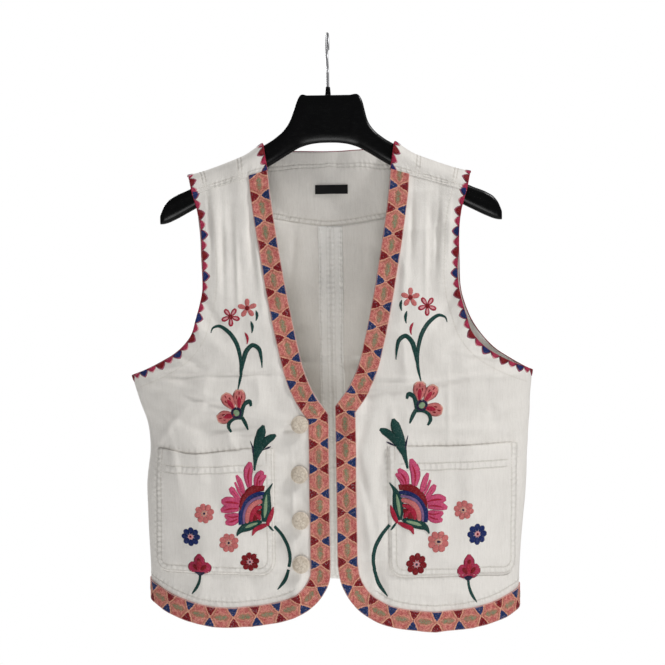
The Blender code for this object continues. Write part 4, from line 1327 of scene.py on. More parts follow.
@dataclass(frozen=True)
class Front(Panel):
    """One front: the band along its edge, the rest of it inside, and its pocket.

    The counts are cells between the corners that all layers share; cells multiplies them.
    """

    edge_x: float
    corner_z: float
    pocket_x: Pair
    mouth: Pair
    columns: tuple[int, int, int] = (3, 9, 2)
    armhole_rows: int = 14
    v_end_rows: int = 2
    waist_rows: int = 3
    pocket_rows: int = 8
    hem_rows: int = 3
    corner_share: float = 0.13
    cells: int = 8
    face: ClassVar[Face] = Face.FRONT
    seam_out: ClassVar[Pair] = FRONT_SEAM_OUT

    @property
    def pocket(self) -> "Pocket":
        """Its pocket."""
        return Pocket(self, *self.mouth)

    def edge(self, cells: int) -> Array:
        """Flat points down the V, the straight edge and round the corner to the side seam.

        The V leans out by a table of spread against drop, the rest is a smooth curve through
        the hem's points; each part is divided evenly by length.

        Args:
            cells: How many times finer than the shared corners.

        Returns:
            The points.
        """
        top_x, top_z = FRONT_SEAM_IN
        drop = np.linspace(0, 1, CURVE_SAMPLES)
        v_part = FORM.from_front(np.column_stack([
            self.edge_x + (top_x - self.edge_x) * smooth_lookup(*zip(*V_EDGE), drop),
            top_z - SEAM_GAP + (self.corner_z - top_z) * drop]))
        along = length_along(v_part)
        armpit = float(np.interp(-FRONT_ARMPIT_ROW_Z, -v_part[:, 1], along) / along[-1])
        side_end = (float(FORM.half_width(SIDE_HEM_Z)), SIDE_HEM_Z)
        hem = FORM.from_front(smooth_path([(self.edge_x, EDGE_STRAIGHT_END_Z), *FRONT_HEM, side_end]))
        upper, lower = (np.array([(self.edge_x, top), (self.edge_x, bottom)]) for top, bottom in
                        ((self.corner_z, POCKET_TOP_Z), (POCKET_TOP_Z, EDGE_STRAIGHT_END_Z)))
        parts = ((v_part, 0, armpit, self.armhole_rows), (v_part, armpit, 1, self.v_end_rows),
                 (upper, 0, 1, self.waist_rows), (lower, 0, 1, self.pocket_rows),
                 (hem, 0, self.corner_share, self.hem_rows),
                 (hem, self.corner_share, 1, sum(self.columns)))
        return stacked([point_on(path, np.linspace(start, end, rows * cells + 1))
                        for path, start, end, rows in parts])

    def inner(self, cells: int) -> Array:
        """The band's inner line: the edge moved in by the band's width at the shared corners.

        Args:
            cells: How many times finer than the shared corners.

        Returns:
            The points.
        """
        edge = self.edge(cells)
        coarse = edge[::cells]
        moved = inset(coarse, BAND_WIDTH)
        moved[0] = coarse[0] + unit(np.subtract(FRONT_SEAM_OUT, FRONT_SEAM_IN)) * BAND_WIDTH
        moved[-1] = FORM.side_seam(SIDE_HEM_Z + BAND_WIDTH, SIDE_HEM_Z + BAND_WIDTH, 0)[0]
        share, knots = np.linspace(0, len(coarse) - 1, len(edge)), np.arange(len(coarse))
        return edge + np.column_stack([np.interp(share, knots, column)
                                       for column in (moved - coarse).T])

    def band(self, cells: int, across: int) -> Array:
        """The band's grid, from the garment's edge inward."""
        return between(self.edge(cells), self.inner(cells), across)

    def rest(self, cells: int) -> Array:
        """The grid of the front inside the band: four Coons patches one below the other.

        Args:
            cells: How many times finer than the shared corners.

        Returns:
            The grid.
        """
        inner = self.inner(cells)
        rows = cells * np.cumsum([self.armhole_rows, self.v_end_rows + self.waist_rows,
                                  self.pocket_rows, self.hem_rows])
        armhole = self.armhole(self.armhole_rows * cells)
        at_pocket = []
        for row, z in ((rows[1], POCKET_TOP_Z), (rows[2], POCKET_BOTTOM_Z)):
            knots = [inner[row], *FORM.from_front([(x, z) for x in self.pocket_x]),
                     FORM.side_seam(z, z, 0)[0]]
            at_pocket.append(stacked([np.linspace(start, end, count * cells + 1) for start, end, count
                                      in zip(knots, knots[1:], self.columns)]))
        shares = (at_pocket[0][:, :1] - at_pocket[0][0, 0]) / np.ptp(at_pocket[0][:, 0])
        top, armpit = (inner[row] + (end - inner[row]) * shares
                       for row, end in ((0, armhole[0]), (rows[0], armhole[-1])))
        levels = (top, armpit, *at_pocket, inner[rows[3]:])
        heights = (ARMPIT_Z, POCKET_TOP_Z, POCKET_BOTTOM_Z, float(inner[-1, 1]))
        left = [inner[start:end + 1] for start, end in zip((0, *rows), rows)]
        right = [armhole, *[FORM.side_seam(start, end, count) for start, end, count
                            in zip(heights, heights[1:], np.diff(rows))]]
        return stacked([coons(*edges) for edges in zip(levels, levels[1:], left, right)])

    def build(self, shop: Workshop) -> None:
        """Make the panel, the band, the pocket and their sewing thread."""
        hem = inset(self.inner(4)[-sum(self.columns) * 4 + 6:], HEM_LINE_UP)
        lines = [self.facing_line(0.3), StitchLine(hem)]
        grids = (self.band(self.cells, 6), self.rest(self.cells))
        self.panel(shop, grids, lines + self.pocket.pressed())
        self.border(shop, self.band(16, 16))
        self.pocket.build(shop)
        shop.stitching(self.node, (lines, self.place), (self.pocket.lines(), self.pocket.place))


@dataclass(frozen=True)
class Pocket:
    """A patch pocket: a rectangle with rounded lower corners and a mouth that gapes a little.

    Its two twin lines of stitching have a distance from the edge and half the twins' gap.
    """

    front: Front
    sag: float
    skew: float
    cells: int = 60
    rim_line: Pair = (5.0, 3.0)
    mouth_line: Pair = (23.0, 4.0)
    hem_ridge: float = 0.3
    turned_drop: float = 0.8
    turned_width: float = 1.9

    @property
    def corners(self) -> Array:
        """Its four flat corners, top pair first, each from inner to outer."""
        return FORM.from_front([[(x, z) for x in self.front.pocket_x]
                                for z in (POCKET_TOP_Z, POCKET_BOTTOM_Z)])

    @property
    def size(self) -> Pair:
        """Its flat width at the top, and its height."""
        (a, b), (c, _) = self.corners
        return b[0] - a[0], a[1] - c[1]

    def at(self, u: Array, v: Array) -> Array:
        """Flat points at shares across and up: bilinear between the corners, with a sagging mouth."""
        (a, b), (c, d) = self.corners
        u, v = u[..., None], v[..., None]
        flat = v * (a + (b - a) * u) + (1 - v) * (c + (d - c) * u)
        return flat - self.drop(u) * v ** 8 * np.array([0.0, 1.0])

    def drop(self, u: Array) -> Array:
        """How far the mouth sags: sin^2 across it, its lowest place moved out by the skew."""
        return self.sag * np.sin(math.pi * np.clip(u, 0, 1) ** self.skew) ** 2

    def share(self, flat: Array) -> tuple[Array, Array]:
        """Shares across and up of flat points, the opposite of at without the sag.

        Args:
            flat: Points (..., 2).

        Returns:
            The two shares.
        """
        (a, b), (c, d) = self.corners
        v = (flat[..., 1] - c[1]) / (a[1] - c[1])
        start, end = c[0] + (a[0] - c[0]) * v, d[0] + (b[0] - d[0]) * v
        return (flat[..., 0] - start) / (end - start), v

    def inside(self, u: Array, v: Array) -> Array:
        """How far a point at shares across and up is inside the outline."""
        width, height = self.size
        return np.minimum.reduce([u * width, (1 - u) * width, v * height,
                                  (1 - v) * height - self.drop(u)])

    def lift(self, u: Array, v: Array) -> Array:
        """Height of its outer face: the walls, the mouth's gape sin^2 * v^4, and a hem ridge.

        At its outline the cloth is turned under, so it drops there with a Gaussian.

        Args:
            u, v: Shares across and up.

        Returns:
            The height.
        """
        gape = POCKET_MOUTH_GAPE * np.sin(math.pi * np.clip(u, 0, 1)) ** 2 * np.clip(v, 0, 1) ** 4
        turned_under = self.turned_drop * bell(np.clip(self.inside(u, v), 0, None), self.turned_width)
        ridge = self.hem_ridge * smoothstep(0.80, 0.83, v)
        return LAYER_GAP + POCKET_WALL + gape + ridge - turned_under

    def place(self, flat: Array, lift: Array) -> Array:
        """Put flat points on its outer face, moved out by a lift."""
        return self.front.place(flat, lift + self.lift(*self.share(flat)))

    def place_on_top(self, flat: Array, lift: Array) -> Array:
        """Put flat points on whichever cloth is on top, the pocket's face ramped at its outline."""
        u, v = self.share(flat)
        return self.front.place(flat, lift + self.lift(u, v) * smoothstep(-1.0, 0.4, self.inside(u, v)))

    def grid(self) -> Array:
        """Its flat grid; in each lower corner a square is rounded to a disc's quarter.

        The square's shares p, q become p sqrt(1 - q^2 / 2) and q sqrt(1 - p^2 / 2).
        """
        width, height = self.size
        across, up = np.meshgrid(np.linspace(0, 1, self.cells + 1), np.linspace(1, 0, self.cells + 1))
        half = width / 2 - POCKET_CORNER
        p = np.clip((np.abs(across - 0.5) * width - half) / POCKET_CORNER, 0, None)
        q = np.clip((POCKET_CORNER - up * height) / POCKET_CORNER, 0, None)
        moved_p, moved_q = p * np.sqrt(1 - q * q / 2), q * np.sqrt(1 - p * p / 2)
        return self.at(across + np.sign(across - 0.5) * (moved_p - p) * POCKET_CORNER / width,
                       up - (moved_q - q) * POCKET_CORNER / height)

    def rim(self, inside: float) -> Array:
        """A flat line round its sides and bottom, a little inside the outline.

        Args:
            inside: How far inside, or outside where negative.

        Returns:
            The points.
        """
        width, height = self.size
        turn, bow = np.linspace(0, math.pi / 2, 7), POCKET_CORNER - inside
        left = inside + bow * (1 - np.column_stack([np.cos(turn), np.sin(turn)]))
        rim = np.vstack([[(inside, height - 1.5)], left, left[::-1] * (-1, 1) + (width, 0),
                         [(width - inside, height - 1.5)]])
        return smooth_steps(self.at(rim[:, 0] / width, rim[:, 1] / height))

    def across(self, start: float, v: float) -> Array:
        """A flat line across it at a share of its height, ending as far from the other side."""
        return self.at(np.linspace(start, 1 - start, 40), np.full(40, v))

    def lines(self) -> list[StitchLine]:
        """The twin line round sides and bottom, and the twin line of the mouth's hem."""
        (rim, rim_gap), (mouth, mouth_gap) = self.rim_line, self.mouth_line
        across = self.across(0.075, 1 - mouth / self.size[1])
        return [StitchLine(self.rim(rim), rim_gap), StitchLine(across, mouth_gap)]

    def pressed(self) -> list[StitchLine]:
        """Lines that the pocket's outline presses into the panel, without thread; the twill paints shade
        along them.
        """
        return [StitchLine(self.rim(-0.7), pull=0.75), StitchLine(self.across(0.02, 1.006), pull=0.9)]

    def build(self, shop: Workshop) -> None:
        """Make the pocket's cloth."""
        flat = self.grid()
        patch = self.front.patch(flat, self.lines(), self.lift(*self.share(flat)))
        shop.cloth(f"pocket_{self.front.name}", [patch], [flat], [f"{self.front.node}_cloth"],
                   POCKET_WALL + 0.25)


def back_seam_z(x: Array) -> Array:
    """Height of the seam between the yoke and the backs: a power curve of x."""
    rise = BACK_SEAM_OUT[1] - BACK_SEAM_CENTRE_Z
    return BACK_SEAM_CENTRE_Z + rise * np.abs(x / BACK_SEAM_OUT[0]) ** BACK_SEAM_CURVE


@dataclass(frozen=True)
class Back(Panel):
    """One back: down to the hem's band, and the band."""

    columns: int = 72
    armhole_rows: int = 60
    body_rows: int = 76
    seam_line_x: float = 4.5
    seam_line_ends: Pair = (-225.0, -640.0)
    face: ClassVar[Face] = Face.BACK
    seam_out: ClassVar[Pair] = BACK_SEAM_OUT

    def row(self, start_z: float, end: Sequence[float]) -> Array:
        """A row of points, even from the centre line to an end."""
        return np.linspace((0, start_z), end, self.columns + 1)

    def hem_lines(self) -> list[Array]:
        """The hem and the band's upper line, both rising towards the centre by a cosine squared."""
        found = []
        for z in (SIDE_HEM_Z, SIDE_HEM_Z + BAND_WIDTH):
            line = self.row(z, FORM.side_seam(z, z, 0)[0])
            line[:, 1] += BACK_HEM_RISE * np.cos(np.linspace(0, math.pi / 2, len(line))) ** 2
            found.append(line)
        return found

    def band(self, cells: int, across: int) -> Array:
        """The band's grid, from the hem upward, cells times finer along it."""
        share = np.linspace(0, 1, self.columns * cells + 1)
        return between(*[point_on(line, share) for line in self.hem_lines()], across)

    def rest(self) -> Array:
        """The grid above the band: two Coons patches."""
        armhole, upper = self.armhole(self.armhole_rows), self.hem_lines()[1]
        top = self.row(BACK_SEAM_CENTRE_Z, armhole[0])
        top[:, 1] = back_seam_z(top[:, 0]) - SEAM_GAP
        armpit = self.row(ARMPIT_Z, armhole[-1])
        return stacked([
            coons(top, armpit, np.linspace(top[0], armpit[0], self.armhole_rows + 1), armhole),
            coons(armpit, upper, np.linspace(armpit[0], upper[0], self.body_rows + 1),
                  FORM.side_seam(ARMPIT_Z, float(upper[-1, 1]), self.body_rows))])

    def build(self, shop: Workshop) -> None:
        """Make the panel, its band and its stitching."""
        lines = [self.facing_line(),
                 StitchLine(smooth_steps([(self.seam_line_x, z) for z in self.seam_line_ends])),
                 StitchLine(self.hem_lines()[1][1:] + (0.0, HEM_LINE_UP))]
        self.panel(shop, (self.rest(), self.band(1, 6)), lines)
        shop.stitching(self.node, (lines, self.place), (lines[::2], self.within))
        self.border(shop, self.band(2, 16))


FRONTS = (Front("left", -1, FRONT_ARMHOLE, LEFT_REPEATS, 5.0, -449.7, (69.3, 209.4), (6.0, 1.4)),
          Front("right", 1, FRONT_ARMHOLE, RIGHT_REPEATS, 3.1, -440.3, (62.6, 212.0), (1.0, 1.0)))
BACKS = (Back("left", -1, LEFT_BACK_ARMHOLE, BACK_REPEATS),
         Back("right", 1, RIGHT_BACK_ARMHOLE, BACK_REPEATS))


@dataclass(frozen=True)
class SeamTape:
    """The pressed-open seam allowance down the inside of the centre back.

    Each ridge, or groove where its height is negative, has its x, width and height.
    """

    rows: int = 150
    half_columns: int = 18
    edge_x: float = 12.6
    pressed_x: float = 2.8
    ends: Pair = (-228.0, -660.0)
    ridges: Rows = ((13.2, 1.3, 0.7), (4.6, 1.0, 0.5), (0.0, 0.9, -0.35), (10.6, 0.8, -0.3))
    # The tape's twill is the panels' twill painted lighter: painted light that brightens the strip inside
    # the back
    finish: Finish = TwillFinish("doubled_cotton_twill", paint(255, 253, 249), paint(214, 209, 201))

    def line(self, x: float) -> Array:
        """A line down the tape."""
        return smooth_steps([(x, z) for z in self.ends])

    def build(self, shop: Workshop) -> None:
        """Make the tape, ridged and grooved along its folds, and the lines that hold its edges."""
        x = np.linspace(0, STRIP_HALF_WIDTH, self.half_columns + 1)[None, :]
        z = np.linspace(BACK_SEAM_CENTRE_Z - SEAM_GAP, SIDE_HEM_Z + BACK_HEM_RISE, self.rows + 1)[:, None]
        edge = [StitchLine(self.line(self.edge_x))]
        # The twin line at pressed_x has no thread: the twill paints shade along it, for the pressed folds
        # of the allowance
        lines = [*edge, StitchLine(self.line(self.pressed_x), 2.1, 0.9)]
        pucker = 0.25 * np.sin(z / 1.9 + np.sin(z / 11.0)) * (x / STRIP_HALF_WIDTH) ** 3
        ridge = sum(height * bell(x - at, width) for at, width, height in self.ridges)
        depth = 0.15 - STRIP_DEPTH - pucker - ridge
        halves = [replace(back.patch(grid_of(x, z), lines, depth), towards=(0, -1, 0)) for back in BACKS]
        tape = shop.piece("back_seam_tape", halves, self.finish, "back_seam_strip", STRIP_WALL)
        shop.stitching("back_seam", *[(edge, partial(back.within, wall=STRIP_DEPTH - 0.1))
                                      for back in BACKS])


# ---- yoke
@dataclass(frozen=True)
class Yoke:
    """The yoke over both shoulders, from the back seam round the ridge to the front seams.

    Its plan is x against the run from the ridge, positive at the back. A line of stitching has
    its distance from the seam and half the gap of its twins.
    """

    neck_cells: int = 30
    shoulder_cells: int = 34
    back_cells: int = 34
    front_cells: int = 28
    overlap: float = 1.6
    front_line: Pair = (4.0, 1.7)
    back_line: Pair = (4.4, 2.4)
    arm_gap: float = 1.8
    neck_gap: float = 2.0
    neck_facing: Pair = (108.0, 66.0)

    def place(self, plan: Array, lift: Array) -> Array:
        """Put plan points (x, signed run) on the cloth, moved out by a lift, upward at the ridge.

        Args:
            plan: Points (..., 2).
            lift: How far out.

        Returns:
            Points (..., 3).
        """
        x, run = plan[..., 0], plan[..., 1]
        points, normals = [], []
        for face in Face:
            surface = partial(FORM.shoulder_point, face)
            points.append(surface(x, run * face.away))
            normals.append(normals_of(surface, x, np.maximum(run * face.away, 0.05),
                                      (0, face.away, 0.6)))
        at_front = (run < 0)[..., None]
        upward = np.exp(-np.abs(run) / 1.2)[..., None]
        normal = np.where(at_front, *normals) * (1 - upward) + np.array([0.0, 0.0, 1.0]) * upward
        return np.where(at_front, *points) + unit(normal) * np.asarray(lift)[..., None]

    def within(self, plan: Array, lift: Array) -> Array:
        """Put plan points on the inner face, moved in by a lift."""
        return self.place(plan, -PANEL_WALL - lift)

    def neck_run(self, x: Array) -> Array:
        """How far below the ridge the back of the neck is cut at x."""
        neck_z = NECK_BACK_Z + (NECK_SIDE_Z - NECK_BACK_Z) * (x / NECK_HALF_WIDTH) ** 4
        return np.where(np.abs(x) < NECK_HALF_WIDTH - 0.6, FORM.run_to(x, neck_z), 0)

    def back_grid(self) -> Array:
        """The back's plan, row by row from the neck and ridge down to the seam."""
        ridge = stacked([np.linspace(0, NECK_HALF_WIDTH, self.neck_cells + 1),
                         np.linspace(NECK_HALF_WIDTH, SHOULDER_OUT, self.shoulder_cells + 1)])
        top = np.r_[-ridge[:0:-1], ridge]
        low = top * BACK_SEAM_OUT[0] / SHOULDER_OUT
        end = FORM.run_to(low, back_seam_z(low)) + self.overlap
        return between(np.column_stack([top, self.neck_run(top)]), np.column_stack([low, end]),
                       self.back_cells)

    def front_grid(self, side: int) -> Array:
        """One front flap's plan, from the ridge down to the front's seam.

        Args:
            side: -1 for the left flap, 1 for the right.

        Returns:
            The plan.
        """
        ends = ((NECK_HALF_WIDTH, SHOULDER_OUT), *zip(FRONT_SEAM_IN, FRONT_SEAM_OUT))
        top, low, seam_z = (np.linspace(*pair, self.shoulder_cells + 1) for pair in ends)
        end = FORM.run_to(low, seam_z) + self.overlap
        return between(np.column_stack([side * top, 0 * top]), np.column_stack([side * low, -end]),
                       self.front_cells)

    def neck_path(self) -> Array:
        """The neck's edge: up the left flap, round the back of the neck, down the right."""
        left, right = (self.front_grid(side)[:, 0] for side in (-1, 1))
        x = np.linspace(-NECK_HALF_WIDTH + 1.5, NECK_HALF_WIDTH - 1.5, 80)
        return smooth_steps(np.vstack([left[::-1], np.column_stack([x, self.neck_run(x)]), right]), 2.0)

    def arm_path(self, side: int) -> Array:
        """The yoke's end at the armhole, from the front seam over the ridge to the back seam."""
        back = self.back_grid()[:, -1 if side > 0 else 0]
        return smooth_steps(np.vstack([self.front_grid(side)[::-1, -1], back[1:]]), 2.0)

    def seam_lines(self) -> list[StitchLine]:
        """Lines along both seams, the facing's twin line round the neck, and the armholes'."""
        lines = []
        for side in (-1, 1):
            seam = self.front_grid(side)[-1] + (0.0, self.front_line[0])
            lines.append(StitchLine(smooth_steps(seam)[1:-1], self.front_line[1]))
            arm = self.arm_path(side) - (FACING_WIDTH * side, 0.0)
            lines.append(StitchLine(arm[2:-2], self.arm_gap))
        seam = self.back_grid()[-1] - (0.0, self.back_line[0])
        lines.append(StitchLine(smooth_steps(seam)[1:-1], self.back_line[1]))
        reach = np.linspace(-1, 1, 60) * math.pi / 2
        wide, deep = self.neck_facing
        curve = np.column_stack([wide * np.sin(reach), deep * np.clip(np.cos(reach), 0, 1) ** 1.5])
        left, right = (np.column_stack([side * np.linspace(wide - 5, wide, 14),
                                        np.linspace(-47, -1.5, 14)]) for side in (-1, 1))
        neck = smooth_steps(np.vstack([left, curve, right[::-1]]))
        return [*lines, StitchLine(neck, self.neck_gap)]

    def build(self, shop: Workshop) -> None:
        """Make the yoke's cloth, its lower edges lifted over the panels', and its stitching."""
        lines = self.seam_lines()
        grids = [self.back_grid(), self.front_grid(-1), self.front_grid(1)]
        patches = []
        for grid, look in zip(grids, ((0, 1, 1), (0, -1, 1), (0, -1, 1))):
            lift = 0.6 * smoothstep(1 - 4.0 / 60, 1, np.linspace(0, 1, len(grid)))[:, None]
            patches.append(Patch(self.place(grid, lift + np.zeros(grid.shape[:2])), look,
                                 grid * METRES, seam_field(grid, lines)))
        shop.cloth("yoke", patches, grids, ["hanger_moulding"])
        shop.stitching("yoke", (lines, self.place), (lines[4:5], self.within))


@dataclass(frozen=True)
class Label:
    """The blank woven label inside the back of the neck, its lower edge bowed off the cloth."""

    centre: Pair = (2.5, -180.7)
    size: Pair = (40.0, 11.0)
    bow: float = 2.0
    cells: tuple[int, int] = (40, 12)

    def build(self, shop: Workshop) -> None:
        """Make it: depth less the walls and a bow of cos^2 across that grows downward."""
        across = np.linspace(-0.5, 0.5, self.cells[0] + 1)[None, :]
        down = np.linspace(0.5, -0.5, self.cells[1] + 1)[:, None]
        x, z = self.centre[0] + self.size[0] * across, self.centre[1] + self.size[1] * down
        fold = 0.25 * bell(np.abs(across) - 0.46, 0.03)
        bow = self.bow * (0.5 - down) * np.cos(math.pi * across) ** 2 + fold
        y = FORM.depth(Face.BACK, z) - PANEL_WALL - LAYER_GAP - LABEL_WALL - bow
        patch = Patch(grid_of(x, y, z), (0, -1, 0), grid_of(x, z) * METRES)
        label = shop.piece("neck_label", [patch], LabelFinish(), "label", LABEL_WALL)
        self.size[0] * METRES
        self.size[1] * METRES


# ---- buttons and hanger
@dataclass(frozen=True)
class Button:
    """A domed shank button with a cast rim and a generic rosette on its face.

    Its profile is a row of radius and height; a sunk ring has its radius, width and depth.
    """

    number: int
    x: float
    z: float
    seat: float = 0.35
    segments: int = 72
    profile: Rows = ((0, 7.6), (4.2, 7.2), (7.6, 6.2), (9.6, 4.9), (10.25, 3.9), (9.7, 3.1), (8.3, 2.8),
                     (3.0, 2.6), (2.6, 2.0), (2.6, 0), (0, 0))
    rings: Rows = ((8.3, 0.35, 1.0), (6.9, 0.3, 0.7), (1.9, 0.35, 1.0))

    def relief(self, radius: Array, turn: Array) -> Array:
        """Depth of the sunk pattern: a ring inside the rim, petals, and lines between them.

        Args:
            radius: Distance from the button's middle.
            turn: Angle round it.

        Returns:
            The depth, as a share of the deepest.
        """
        ring = sum(depth * bell(radius - at, width) for at, width, depth in self.rings)
        petals = bell(np.abs(np.sin(turn * 4 + 0.4 * np.sin(radius))), 0.35)
        petals = petals * smoothstep(1.6, 2.4, radius) * smoothstep(6.8, 6.0, radius)
        beads = 0.6 * bell(radius - 7.6, 0.35) * (0.5 + 0.5 * np.cos(turn * 26))
        return np.clip(ring + petals + beads, 0, 1.2)

    def build(self, shop: Workshop) -> None:
        """Turn the profile round, sink the relief, and stand it square on the cloth."""
        line = stacked([np.linspace(start, end, max(int(math.dist(start, end) / 0.42), 2) + 1)
                        for start, end in zip(self.profile, self.profile[1:])])
        line[1:-1] = (line[:-2] + 2 * line[1:-1] + line[2:]) / 4
        radius, height = line[:, :1], line[:, 1:]
        turn = round_angles(self.segments) + self.number * 0.7
        sunk = self.relief(radius, turn) * smoothstep(3.6, 4.6, height)
        flat = FORM.from_front([(abs(self.x), self.z)])
        foot, seat = (FRONTS[0].place(flat, np.array([lift]))[0] for lift in (0.0, self.seat))
        upright = np.array(Vector(seat - foot).to_track_quat("Z", "Y").to_matrix())
        points = turned(radius, height - 0.3 * sunk, turn) @ upright.T + seat
        # The sunk relief also goes to the finish, which paints shade in the hollows
        shop.piece(f"button_{self.number}_cast", [Patch(points, carried={"sunk": sunk}, round=True)],
                   ButtonFinish(), f"button_{self.number}")


@dataclass(frozen=True)
class Hanger:
    """The moulded hanger: rounded sections from tip to tip, with a sunk blank panel in its head.

    Each station has its x, top, bottom and half thickness.
    """

    stations: Rows = (
        (0, -71.2, -128.0, 4.5), (12, -71.2, -128.4, 4.5), (24, -71.2, -130.2, 4.6),
        (32.5, -71.6, -132.8, 4.7), (35.5, -76.5, -134.0, 4.8), (40, -88, -136.4, 5.0),
        (45.5, -100.5, -139.6, 5.2), (53.7, -112.8, -144.6, 5.5), (63.7, -121.8, -150.8, 5.8),
        (80, -132.0, -160.0, 6.0), (100, -143.6, -171.2, 6.0), (125, -158.0, -185.0, 6.0),
        (150, -172.3, -198.9, 6.0), (170, -183.0, -209.9, 6.0), (186.5, -190.6, -218.6, 5.9),
        (194.5, -196.4, -221.9, 5.6), (199.6, -204.0, -223.0, 5.0), (203.0, -212.5, -223.2, 3.4))
    sides: int = 44
    steps: int = 200
    squareness: float = 3.0
    panel: tuple[float, float, float] = (27.0, -88.0, -114.5)
    panel_depth: float = 0.5
    head_flare: Pair = (1.4, 4.6)
    tip_shift: float = 3.2

    def build(self, shop: Workshop) -> None:
        """Loft the sections.

        A section is the superellipse |y / t|^n + |z / h|^n = 1 between the top and bottom
        lines, scaled so that its faces reach them. The panel is sunk into both faces with
        rounded sides, and the arms carry a shallow groove along their middle.
        """
        half_x, *columns = np.array(self.stations).T
        along = length_along(np.column_stack([half_x, columns[0]]))
        spread = np.interp(np.linspace(0, 1, self.steps), along / along[-1], half_x)
        rows = [smooth_lookup(half_x, column, spread) for column in columns]
        top, bottom, thick = (np.r_[row[:0:-1], row][:, None] for row in rows)
        x = np.r_[-spread[:0:-1], spread][:, None]
        turn = round_angles(self.sides) + math.pi / self.sides
        round_y, round_z = (np.sign(part) * np.abs(part) ** (2 / self.squareness)
                            for part in (np.cos(turn), np.sin(turn)))
        round_y, round_z = (part / np.abs(part).max() for part in (round_y, round_z))
        half, middle = (top - bottom) / 2, (top + bottom) / 2
        y, z = thick * round_y, middle + half * round_z
        width, high, low = self.panel
        inside = np.minimum(np.minimum(width - np.abs(x), high - z), z - low)
        sunk = self.panel_depth * smoothstep(-0.4, 0.8, inside)
        rib = 0.35 * bell(z - middle, 0.28 * half)
        rib = rib * smoothstep(60, 75, np.abs(x)) * smoothstep(196, 186, np.abs(x))
        y = y - np.sign(y) * (sunk + rib) * smoothstep(0.55, 0.9, np.abs(round_y))
        left, right = self.head_flare
        flare = right * smoothstep(18, 34, x) - left * smoothstep(-18, -34, x)
        x = x + self.tip_shift * smoothstep(150, 200, x) + flare * smoothstep(-112, -76, z)
        shop.piece("hanger_moulding", [Patch(capped(grid_of(x, y, z)), round=True)], PlasticFinish(),
                   "hanger_body")


@dataclass(frozen=True)
class Hook:
    """The wire hook: a straight stem, a small bend back, a slope, and the round hook."""

    wire_radius: float = 1.75
    radius: float = 17.0
    stem_foot_z: float = -70.9
    bend_radius: float = 12.0
    slope: float = math.radians(50)
    end: float = math.radians(-112)
    turn: float = math.radians(2.6)
    sides: int = 28

    def centre_line(self) -> Array:
        """Points (back, z) down the wire's middle: two arcs joined by straight runs."""
        centre_z = self.wire_radius - self.radius
        start, bend = math.pi - self.slope, math.pi / 2 - self.slope
        t = np.linspace(start, self.end, 90)
        hook = np.column_stack([self.radius * np.sin(t), centre_z + self.radius * np.cos(t)])
        t = np.linspace(0, bend, 14)
        arc = self.bend_radius * np.column_stack([1 - np.cos(t), np.sin(t)])
        arc[:, 1] += hook[0, 1] - math.tan(self.slope) * (hook[0, 0] - arc[-1, 0]) - arc[-1, 1]
        return np.vstack([[(0, self.stem_foot_z)], arc, hook])

    def build(self, shop: Workshop) -> None:
        """Carry a circle along the middle line; both ends are closed, the free one domed."""
        path = smooth_steps(self.centre_line(), 0.8)
        along = length_along(path)
        dome = np.sqrt(1 - (1 - np.clip((along[-1] - along) / 0.9, 0, 1)) ** 2)
        radius, angle = self.wire_radius * (0.35 + 0.65 * dome)[:, None], round_angles(self.sides)
        in_plane = path[:, None] + left_of(path)[:, None] * (radius * np.cos(angle))[..., None]
        back, aside = in_plane[..., 0], radius * np.sin(angle)
        sine, cosine = math.sin(self.turn), math.cos(self.turn)
        points = grid_of(aside * cosine - back * sine, back * cosine + aside * sine, in_plane[..., 1])
        shop.piece("hanger_hook_wire", [Patch(capped(points), round=True)], SteelFinish(),
                   "hanger_hook")


@dataclass(frozen=True)
class Ferrule:
    """The moulded collar round the foot of the hook: a turned ring with rounded edges."""

    inner: float = 2.05
    outer: float = 3.5
    taper: float = 0.75
    foot: float = -70.9
    top: float = -61.5
    edge: float = 0.5
    segments: int = 48

    def build(self, shop: Workshop) -> None:
        """Turn a closed profile: walls that taper upward, quarter circles at the outer edges."""
        t = np.linspace(0, math.pi / 2, 6)
        out = self.outer - self.edge
        upper = np.column_stack([out + self.edge * np.sin(t), self.top - self.edge * (1 - np.cos(t))])
        lower = np.column_stack([out + self.edge * np.cos(t), self.foot + self.edge * (1 - np.sin(t))])
        inner_top, inner_foot = (self.inner, self.top), (self.inner, self.foot)
        ring = np.vstack([[inner_top], upper, lower, [inner_foot, inner_top]])
        radius, z = ring[:, :1], ring[:, 1:]
        radius = radius - self.taper * (radius > self.inner) * smoothstep(self.foot, self.top, z)
        points = turned(radius, z, round_angles(self.segments))
        shop.piece("hanger_collar", [Patch(points, round=True)], PlasticFinish(),
                   "hanger_ferrule")


# ---- embroidery
@dataclass(frozen=True)
class Satin:
    """A patch of satin stitch: rows of thread laid across a spine.

    The spine is a few points joined by a smooth curve; half_widths are read along it in the
    same way, evenly. base is the height of the stitching that it lies on.
    """

    thread: Thread
    spine: Rows
    half_widths: Sequence[float]
    base: float = 0.0
    height: float = 0.65


def direction(degrees: float) -> Array:
    """A unit vector turned from straight up towards the outside."""
    return np.array([math.sin(math.radians(degrees)), math.cos(math.radians(degrees))])


def petal(thread: Thread, root: Sequence[float], tip: Sequence[float], half_width: float,
          base: float = 0.0, bend: float = 0.0) -> Satin:
    """A petal or a leaf between two points, widest past its middle, bent to one side.

    Args:
        thread: Its thread.
        root, tip: Its ends, (x, z).
        half_width: Half its width.
        base: Height of what it lies on.
        bend: Its bow to the left, as a share of its length.

    Returns:
        The patch.
    """
    root, reach, t = np.array(root), np.subtract(tip, root), np.linspace(0, 1, 5)[:, None]
    spine = root + reach * t + leftward(reach) * bend * np.sin(math.pi * t)
    return Satin(thread, spine, half_width * np.array([0.3, 0.72, 1.0, 0.92, 0.25]), base)


